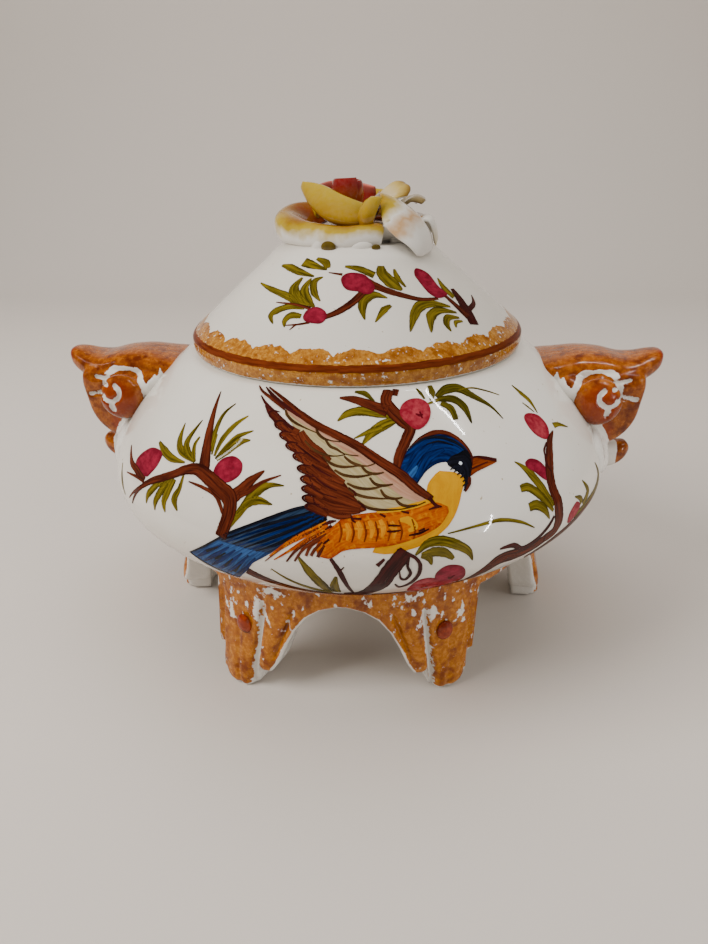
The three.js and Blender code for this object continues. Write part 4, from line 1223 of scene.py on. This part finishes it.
def petal_glaze(name, stops, under=None):
    """Glaze that runs through the stops from the petal's root to its rim."""
    shader, nodes, links, principled = material(name)
    glossy(principled, 0.16)
    flow = nodes.new("ShaderNodeAttribute")
    flow.attribute_name = "flow"
    split = nodes.new("ShaderNodeSeparateXYZ")
    links.new(flow.outputs["Vector"], split.inputs["Vector"])
    place = local(nodes)
    drift = ramp(nodes, links, noise(nodes, links, place, 75, 3.0), 0.3, 0.7, -0.09, 0.09)
    along = math_node(nodes, links, "ADD", split.outputs["X"], drift)
    color = stops[0][1]
    for (start, _), (end, following) in zip(stops, stops[1:]):
        color = blend(nodes, links, ramp(nodes, links, along, start, end), color, following)
    grain = ramp(nodes, links, noise(nodes, links, place, 420, 3.0), 0.35, 0.7, 0, 0.03)
    color = blend(nodes, links, grain, color, WHITE)
    if under:
        below = nodes.new("ShaderNodeAttribute")
        below.attribute_name = "under"
        color = blend(nodes, links, below.outputs["Fac"], color, under)
    links.new(color, principled.inputs["Base Color"])
    bump(nodes, links, principled, noise(nodes, links, place, 120, 3.0), 0.2, 0.0008)
    return shader


YELLOW = (0.30, 0.165, 0.0)
DEEP_YELLOW = (0.23, 0.085, 0.0)
PALE_YELLOW = (0.42, 0.29, 0.015)
ORANGE = (0.26, 0.042, 0.0)
CRIMSON = (0.19, 0.006, 0.004)
PINK_RED = (0.36, 0.030, 0.020)
OLIVE = (0.11, 0.07, 0.004)
CREAM = (0.60, 0.50, 0.27)


def sheet(name, rows, thickness=2.0, wave=0.0):
    """A curled petal through rows of places, rounded and thinner at its rim."""
    rows = np.array(rows, float)
    across = np.array([spline(row, 7) for row in rows])
    surface = np.array([spline(across[:, k], 7) for k in range(across.shape[1])]).transpose(1, 0, 2)
    long, wide = surface.shape[:2]
    u, v = np.linspace(0, 1, long)[:, None], np.linspace(-1, 1, wide)[None]
    normal = np.cross(np.gradient(surface, axis=0), np.gradient(surface, axis=1))
    normal /= np.linalg.norm(normal, axis=2)[:, :, None] + 1e-9
    ripple = wave * u ** 3 * (np.sin(5.1 * v + 1.7 * wave) + 0.6 * np.sin(9.7 * v + wave))
    surface = surface + normal * ripple[:, :, None]
    edge = np.maximum(np.abs(v) + 0 * u, np.abs(2 * u - 1) + 0 * v)
    half = thickness / 2 * np.sqrt(np.clip(1 - edge ** 7, 0.02, 1))
    upper, lower = surface + normal * half[:, :, None], surface - normal * half[:, :, None]
    points = np.vstack([upper.reshape(-1, 3), lower.reshape(-1, 3)])
    base = long * wide
    faces = []
    for i in range(long - 1):
        for j in range(wide - 1):
            faces.append((i * wide + j, i * wide + j + 1, (i + 1) * wide + j + 1, (i + 1) * wide + j))
            faces.append(tuple(base + k for k in reversed(faces[-1])))
    rim = [i * wide for i in range(long)] + [(long - 1) * wide + j for j in range(1, wide)]
    rim += [i * wide + wide - 1 for i in range(long - 2, -1, -1)] + [j for j in range(wide - 2, 0, -1)]
    for a, b in zip(rim, rim[1:] + rim[:1]):
        faces.append((b, a, base + a, base + b))
    piece = build(name, points, faces)
    face_outwards(piece)
    flow = piece.data.attributes.new("flow", "FLOAT_VECTOR", "POINT")
    tone = BRUSH.random()
    one = [(u[i, 0], v[0, j], tone) for i in range(long) for j in range(wide)]
    flow.data.foreach_set("vector", np.array(one * 2, np.float32).ravel())
    give(piece, under=[0.0] * base + [1.0] * base)
    return piece


def fan(turn, spread, line, lift=0.0):
    """Rows of a petal that spreads evenly to both sides of the azimuth turn."""
    rows = []
    for share, (radius, height) in zip(np.linspace(0, 1, len(line)), line):
        row = []
        swell = 0.78 + 0.22 * math.sin(math.pi * (0.15 + 0.6 * share))
        for column in np.linspace(-1, 1, 5):
            a = math.radians(turn + spread * column * swell)
            reach = radius - share * 3.5 * column ** 4
            row.append((reach * math.sin(a), -reach * math.cos(a), height + lift * share * column ** 2))
        rows.append(row)
    return rows


def rolled_bud():
    """The rolled heart of the rose: a sheet wound about one and a half times round."""
    rows = []
    for height, radius in ((220, 6.2), (226, 8.4), (233, 9.6), (238.5, 9.2), (241.2, 8.0)):
        row = []
        for turn in np.linspace(0, 1, 15):
            angle = math.radians(-60 - 520 * turn)
            wound = radius * (1 - 0.62 * turn)
            row.append((wound * math.cos(angle) - 2.5, wound * math.sin(angle),
                        height - 2.6 * turn * (height - 220) / 21))
        rows.append(row)
    return rows


def rose():
    yellow = petal_glaze("petal_yellow", [(0.0, DEEP_YELLOW), (0.45, YELLOW), (1.0, PALE_YELLOW)])
    cup = petal_glaze("petal_cup", [(0.0, WHITE), (0.33, WHITE), (0.48, PALE_YELLOW), (0.60, YELLOW),
                                    (0.74, DEEP_YELLOW),
                                    (0.88, ORANGE)])
    blushed = petal_glaze("petal_blushed", [(0.0, PINK_RED), (0.2, (0.42, 0.08, 0.02)),
                                            (0.42, (0.56, 0.46, 0.27)),
                                            (0.66, (0.46, 0.33, 0.08)), (0.88, (0.22, 0.12, 0.01))], WHITE)
    drooping = petal_glaze("petal_drooping", [(0.0, YELLOW), (0.18, PALE_YELLOW), (0.34, WHITE),
                                              (0.46, (0.50, 0.30, 0.14)),
                                              (0.62, WHITE)], WHITE)
    red = petal_glaze("petal_red", [(0.0, ORANGE), (0.45, ORANGE), (0.75, CRIMSON), (1.0, CRIMSON)])
    pink = petal_glaze("petal_pink", [(0.0, CRIMSON), (0.6, PINK_RED), (1.0, (0.60, 0.17, 0.13))])
    ochre = petal_glaze("petal_ochre", [(0.0, WHITE), (0.3, (0.34, 0.27, 0.13)), (0.7, (0.27, 0.19, 0.07)),
                                        (1.0, (0.18, 0.12, 0.03))])
    pale = petal_glaze("petal_pale", [(0.0, WHITE), (0.6, WHITE), (1.0, CREAM)])
    petals = [
        ("rose_bud", red, "rose_red", rolled_bud(), 1.7, 0),
        ("petal_inner_3", pink, "rose_red",
         [[(-13, 3, 222), (-9, 10, 222), (0, 13, 222), (8, 10, 222)],
          [(-16, 4, 231), (-11, 13, 231), (0, 16, 231), (10, 12, 231)],
          [(-18, 2, 238), (-13, 11, 239), (-1, 14, 238.5), (10, 11, 236)]], 1.8, 0.4),
        ("petal_inner_1", red, "rose_red",
         [[(5, 8, 221), (9, 0, 221), (6, -9, 221)],
          [(10, 9, 228), (13, -1, 228), (8, -12, 227)],
          [(12, 9, 234), (13.5, -2, 232), (8, -13.5, 230.5)]], 1.7, 0.3),
        ("petal_inner_2", yellow, "rose_yellow",
         [[(-21, 4, 233.6), (-13, -4, 226), (-6, -12, 219), (1, -15, 218.5), (8, -13, 219)],
          [(-24.5, 3.6, 234.4), (-20, -9, 228.5), (-12, -21, 224), (0, -26, 222), (10, -22, 222)],
          [(-27.4, 3, 236.6), (-22, -8, 233), (-12, -18, 230), (-1, -21.5, 227.4), (9, -19, 226)],
          [(-26.4, 1, 239.4), (-18.5, -5, 238.8), (-9.5, -11, 236), (-1, -15.5, 232.4), (7.5, -15, 229)]],
         1.9, 0.2),
        ("petal_middle_1", yellow, "rose_yellow",
         [[(3.4, -23, 219.5), (6.6, -26, 219), (10, -25, 219.5)],
          [(3.6, -24, 226), (7.6, -28, 225.6), (12, -25.6, 225.4)],
          [(7, -20.5, 231.6), (11, -22.5, 233.6), (15, -20.5, 233)]], 1.6, 0.2),
        ("petal_middle_2", blushed, "rose_yellow",
         [[(6, 5, 225), (8, -2, 224), (9, -9, 226)],
          [(12, 9, 232.5), (15, 0, 229.5), (16, -8, 230)],
          [(19, 10, 238), (22.5, 1, 234.5), (22, -7, 231.5)],
          [(24.5, 8, 238), (28, 1, 235.5), (26.5, -5, 232)]], 1.9, 0.3),
        ("petal_outer_3", drooping, "rose_white",
         [[(9, 0, 231), (12.5, -7, 234), (13.5, -14, 233), (14, -19, 229)],
          [(20, 0, 228.6), (22, -10, 230), (20.5, -20, 228), (15.6, -26.5, 222)],
          [(30, -1, 223.5), (31, -12, 223.8), (28, -23, 221.6), (21, -30.5, 216.6)],
          [(37, -4, 216.5), (37, -14, 215.4), (34, -25, 213.4), (27.6, -32, 212)],
          [(39.5, -7, 210), (38.5, -17, 208.6), (35.5, -27, 207), (32, -31.5, 207.4)]], 2.0, 0.5),
        ("petal_outer_1", cup, "rose_white",
         [[(-15, 9, 213), (-24, 1, 212.8), (-26, -9, 212), (-20, -20, 211), (-9, -27, 210.4),
           (4, -29, 209.8), (14, -24, 210.6)],
          [(-22, 13, 216), (-34, 6, 214), (-37, -7, 213), (-31, -19, 213.2), (-20, -28, 213),
           (-2, -33.4, 212.8),
           (15, -29.5, 213.6)],
          [(-24, 15, 226), (-35, 7, 225), (-39, -6, 222.6), (-33, -19, 221), (-21, -26, 219.6),
           (-3, -32, 217.8),
           (16, -28.5, 219.6)],
          [(-21, 13, 228), (-30, 6, 227.4), (-33, -5, 225), (-27, -15, 223), (-18, -21.5, 221),
           (-3, -27, 219.8),
           (13.5, -25, 221.4)],
          [(-14, 6, 221), (-18, 2, 219), (-20, -5, 218), (-17, -11, 217.6), (-12, -15, 217.2),
           (-3, -18, 217.6),
           (8, -17, 218)]], 2.2, 0.2),
        ("petal_outer_2", pale, "rose_white",
         [[(12, -21, 213), (20, -16, 213), (25, -7, 213), (26, 3, 213)],
          [(15, -27, 219), (26, -21, 217), (32, -9, 216), (33, 4, 216)],
          [(17, -27, 224), (28, -19, 221), (33, -8, 220), (34, 5, 221)]], 2.2, 0.4),
        ("petal_outer_4", pale, "rose_white",
         [[(24, 14, 217), (26, 4, 217.5), (25, -6, 217.5)],
          [(34, 16, 221), (38, 5, 221.6), (37, -6, 220.5)],
          [(37, 17, 213), (41.8, 6, 212), (41, -5, 208.5)]], 2.1, 0.4),
        ("petal_outer_5", ochre, "rose_white",
         [[(17, 3, 220), (19, 10, 220), (16, 17, 220)],
          [(27, 2, 229), (29, 11, 230.6), (24, 19, 229)],
          [(34, 1, 228), (36, 10, 229.4), (31, 20, 227)]], 2.0, 0.4),
        ("petal_middle_3", yellow, "rose_yellow", fan(165, 46, [(18.5, 221.5), (24, 227), (29, 234)], 1),
         2.0, 0.5),
        ("petal_middle_4", yellow, "rose_yellow", fan(-125, 30, [(19.5, 221.5), (22, 223), (24, 226)], 1),
         2.0, 0.5),
        ("petal_outer_6", cup, "rose_white",
         fan(-150, 50, [(23, 213.4), (31, 215), (38, 220), (36, 222), (24, 219)]), 2.2, 0.3),
        ("petal_outer_7", cup, "rose_white",
         fan(128, 42, [(23, 213.4), (31, 215), (37, 219.5), (35, 221.5), (24, 219)]), 2.2, 0.3),
    ]
    for node, finish, slot, rows, thickness, wave in petals:
        turned = [row[::-1] for row in rows] if node in ("petal_middle_2", "petal_outer_3",
                                                         "petal_outer_5") else rows
        piece = sheet(f"{node}_glazed", turned, thickness, wave)
        known = [] if node == "petal_outer_7" else [node]
        done(piece, finish, "lid", known)
    foot = revolve("rose_base_glazed", [(0, 211), (25, 211.4), (26.5, 212.6), (25.5, 215), (22, 217.4),
                                        (15, 219.6),
                                        (0, 220.5)], 96)
    done(foot, pale, "lid", ["rose_base"])
    drips = [((-15, -29.6, 211.6), (4, 2.4, 4.4), -27), ((6, -32.4, 211), (5.6, 2.4, 3.6), 12),
             ((-30, -13, 213), (4, 3, 2.6), -66), ((22, -19, 213.4), (4.5, 3, 3.4), 50),
             ((0, 27, 213.5), (6, 3, 3.6), 180),
             ((-24, 16, 213.5), (5, 3, 3.4), 236)]
    for number, (place, size, turn) in enumerate(drips):
        done(lump(f"drip_{number}", place, size, turn), pale, "lid", [])
    olive, nodes, links, principled = material("olive_touch")
    glossy(principled, 0.2)
    shade = ramp(nodes, links, noise(nodes, links, local(nodes), 260), 0.35, 0.65)
    links.new(blend(nodes, links, shade, OLIVE, (0.07, 0.045, 0.006)), principled.inputs["Base Color"])
    bump(nodes, links, principled, noise(nodes, links, local(nodes), 200), 0.2, 0.0006)
    for number, (place, size, turn) in enumerate([((-10, -33.6, 212), (3.8, 1.5, 2.8), -17),
                                                  ((12.6, -33, 211.6), (2.2, 1.2, 1.6), 22)]):
        lump_piece = lump(f"leaf_touch_{number}", place, size, turn)
        lump_piece.data.materials.append(olive)
        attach(lump_piece, "lid")

# ---------------------------------------------------------------- stage

LENS = 27.19  # millimetres, for a sensor 36 mm along the longer side of the picture
MIDDLE = (0, 0, 0.12)  # near the middle of the tureen, in metres
SLIT_DISTANCE = 1.5
SLIT_WIDTH = 0.02
BOWL_TOP = 161  # millimetres; pieces that end below it get the narrow lights


def look_from(eye, pitch, yaw, roll):
    """Sets the camera: millimetres, degrees down, degrees to the right of +Y, and roll."""
    camera = bpy.data.objects.new("camera", bpy.data.cameras.new("camera"))
    bpy.context.scene.collection.objects.link(camera)
    camera.data.sensor_width = 36
    camera.data.lens = LENS
    camera.data.clip_start = 0.01
    p, y, r = (math.radians(v) for v in (pitch, yaw, roll))
    forward = Vector((math.sin(y) * math.cos(p), math.cos(y) * math.cos(p), -math.sin(p)))
    right = Vector((math.cos(y), -math.sin(y), 0))
    up = right.cross(forward)
    right, up = right * math.cos(r) + up * math.sin(r), up * math.cos(r) - right * math.sin(r)
    matrix = camera.matrix_world.copy()
    for row in range(3):
        matrix[row][0] = right[row]
        matrix[row][1] = up[row]
        matrix[row][2] = -forward[row]
        matrix[row][3] = eye[row] * MM
    camera.matrix_world = matrix
    bpy.context.scene.camera = camera


def rectangle(name, place, target, size, power):
    """A flat light that faces the target, in metres and watts."""
    light = bpy.data.lights.new(name, "AREA")
    light.shape = "RECTANGLE"
    light.size, light.size_y = size
    light.energy = power
    lamp = bpy.data.objects.new(name, light)
    lamp.location = place
    lamp.rotation_euler = (Vector(target) - Vector(place)).to_track_quat("-Z", "Y").to_euler()
    bpy.context.scene.collection.objects.link(lamp)
    return lamp


def soft_light(name, place, target, size, power, color):
    """A large light that isn't mirrored in the glaze."""
    lamp = rectangle(name, place, target, size, power)
    lamp.data.color = color
    lamp.visible_glossy = False


def slit(name, azimuth, height, tall, power, lean, catchers):
    """A narrow bright gap of window, at an azimuth and height in degrees, that glints in the glaze."""
    a, h = math.radians(azimuth), math.radians(height)
    towards = Vector((math.sin(a) * math.cos(h), -math.cos(a) * math.cos(h), math.sin(h)))
    lamp = rectangle(name, towards * SLIT_DISTANCE + Vector(MIDDLE), MIDDLE, (SLIT_WIDTH, tall), power)
    lamp.rotation_euler.rotate_axis("Z", math.radians(lean))
    lamp.light_linking.receiver_collection = catchers


def stage():
    """A plain floor that bends up into a wall, in metres."""
    size, bend_start, bend, steps = 3.0, 0.9, 0.5, 24
    work = bmesh.new()
    rows = [(-size, 0)]
    for i in range(steps + 1):
        angle = i / steps * math.pi / 2
        rows.append((bend_start + bend * math.sin(angle), bend - bend * math.cos(angle)))
    rows.append((bend_start + bend, size))
    verts = [[work.verts.new((x, y, z)) for x in (-size, size)] for y, z in rows]
    for a, b in zip(verts, verts[1:]):
        work.faces.new((a[0], a[1], b[1], b[0]))
    mesh = bpy.data.meshes.new("backdrop")
    work.to_mesh(mesh)
    work.free()
    for face in mesh.polygons:
        face.use_smooth = True
    cloth, _, _, principled = material("backdrop")
    principled.inputs["Base Color"].default_value = (0.63, 0.58, 0.535, 1)
    principled.inputs["Roughness"].default_value = 0.9
    mesh.materials.append(cloth)
    floor = link("backdrop", mesh)


bowl()
lid()
stand()
beads()
handle("left", -1)
handle("right", 1)
rose()
left_tree()
right_tree()
top_branch()
ground_branch()
bird()
lid_branch()
lid_bands()
left_tree("back_right_tree", 180, 1)
right_tree("back_left_tree", 180, 1)
ground_branch("back_ground", 180, -1)
back_spray()
lid_branch("back_lid_branch", 180, 1)

stage()
look_from((33, -382, 258), 25.0, -5.4, -1.15)
soft_light("window", (-1.15, -0.55, 1.1), (0, 0, 0.1), (0.9, 0.9), 30, (1, 0.955, 0.90))
soft_light("fill", (1.2, -0.6, 0.8), (0, 0, 0.1), (1.2, 1.2), 9, (1, 0.96, 0.91))
soft_light("top", (0, 0.25, 1.5), (0, 0, 0), (1.4, 1.4), 15, (1, 0.965, 0.92))
glints = bpy.data.collections.new("glints_on_the_bowl")
# melt() removes the rough solids that it builds, so some names give no object.
for built in map(bpy.data.objects.get, BUILT):
    if built and max(corner[2] for corner in built.bound_box) < BOWL_TOP * MM:
        glints.objects.link(built)
slit("gap_low", 58, 8, 0.42, 4, -22, glints)
slit("gap_high", 87, 62, 0.75, 5, -24, glints)
slit("gap_left", -74, 40, 0.3, 0.5, -8, glints)
world = bpy.data.worlds.new("studio")
world.use_nodes = True
background = world.node_tree.nodes["Background"]
background.inputs["Color"].default_value = (1, 0.955, 0.90, 1)
background.inputs["Strength"].default_value = 0.2
bpy.context.scene.world = world
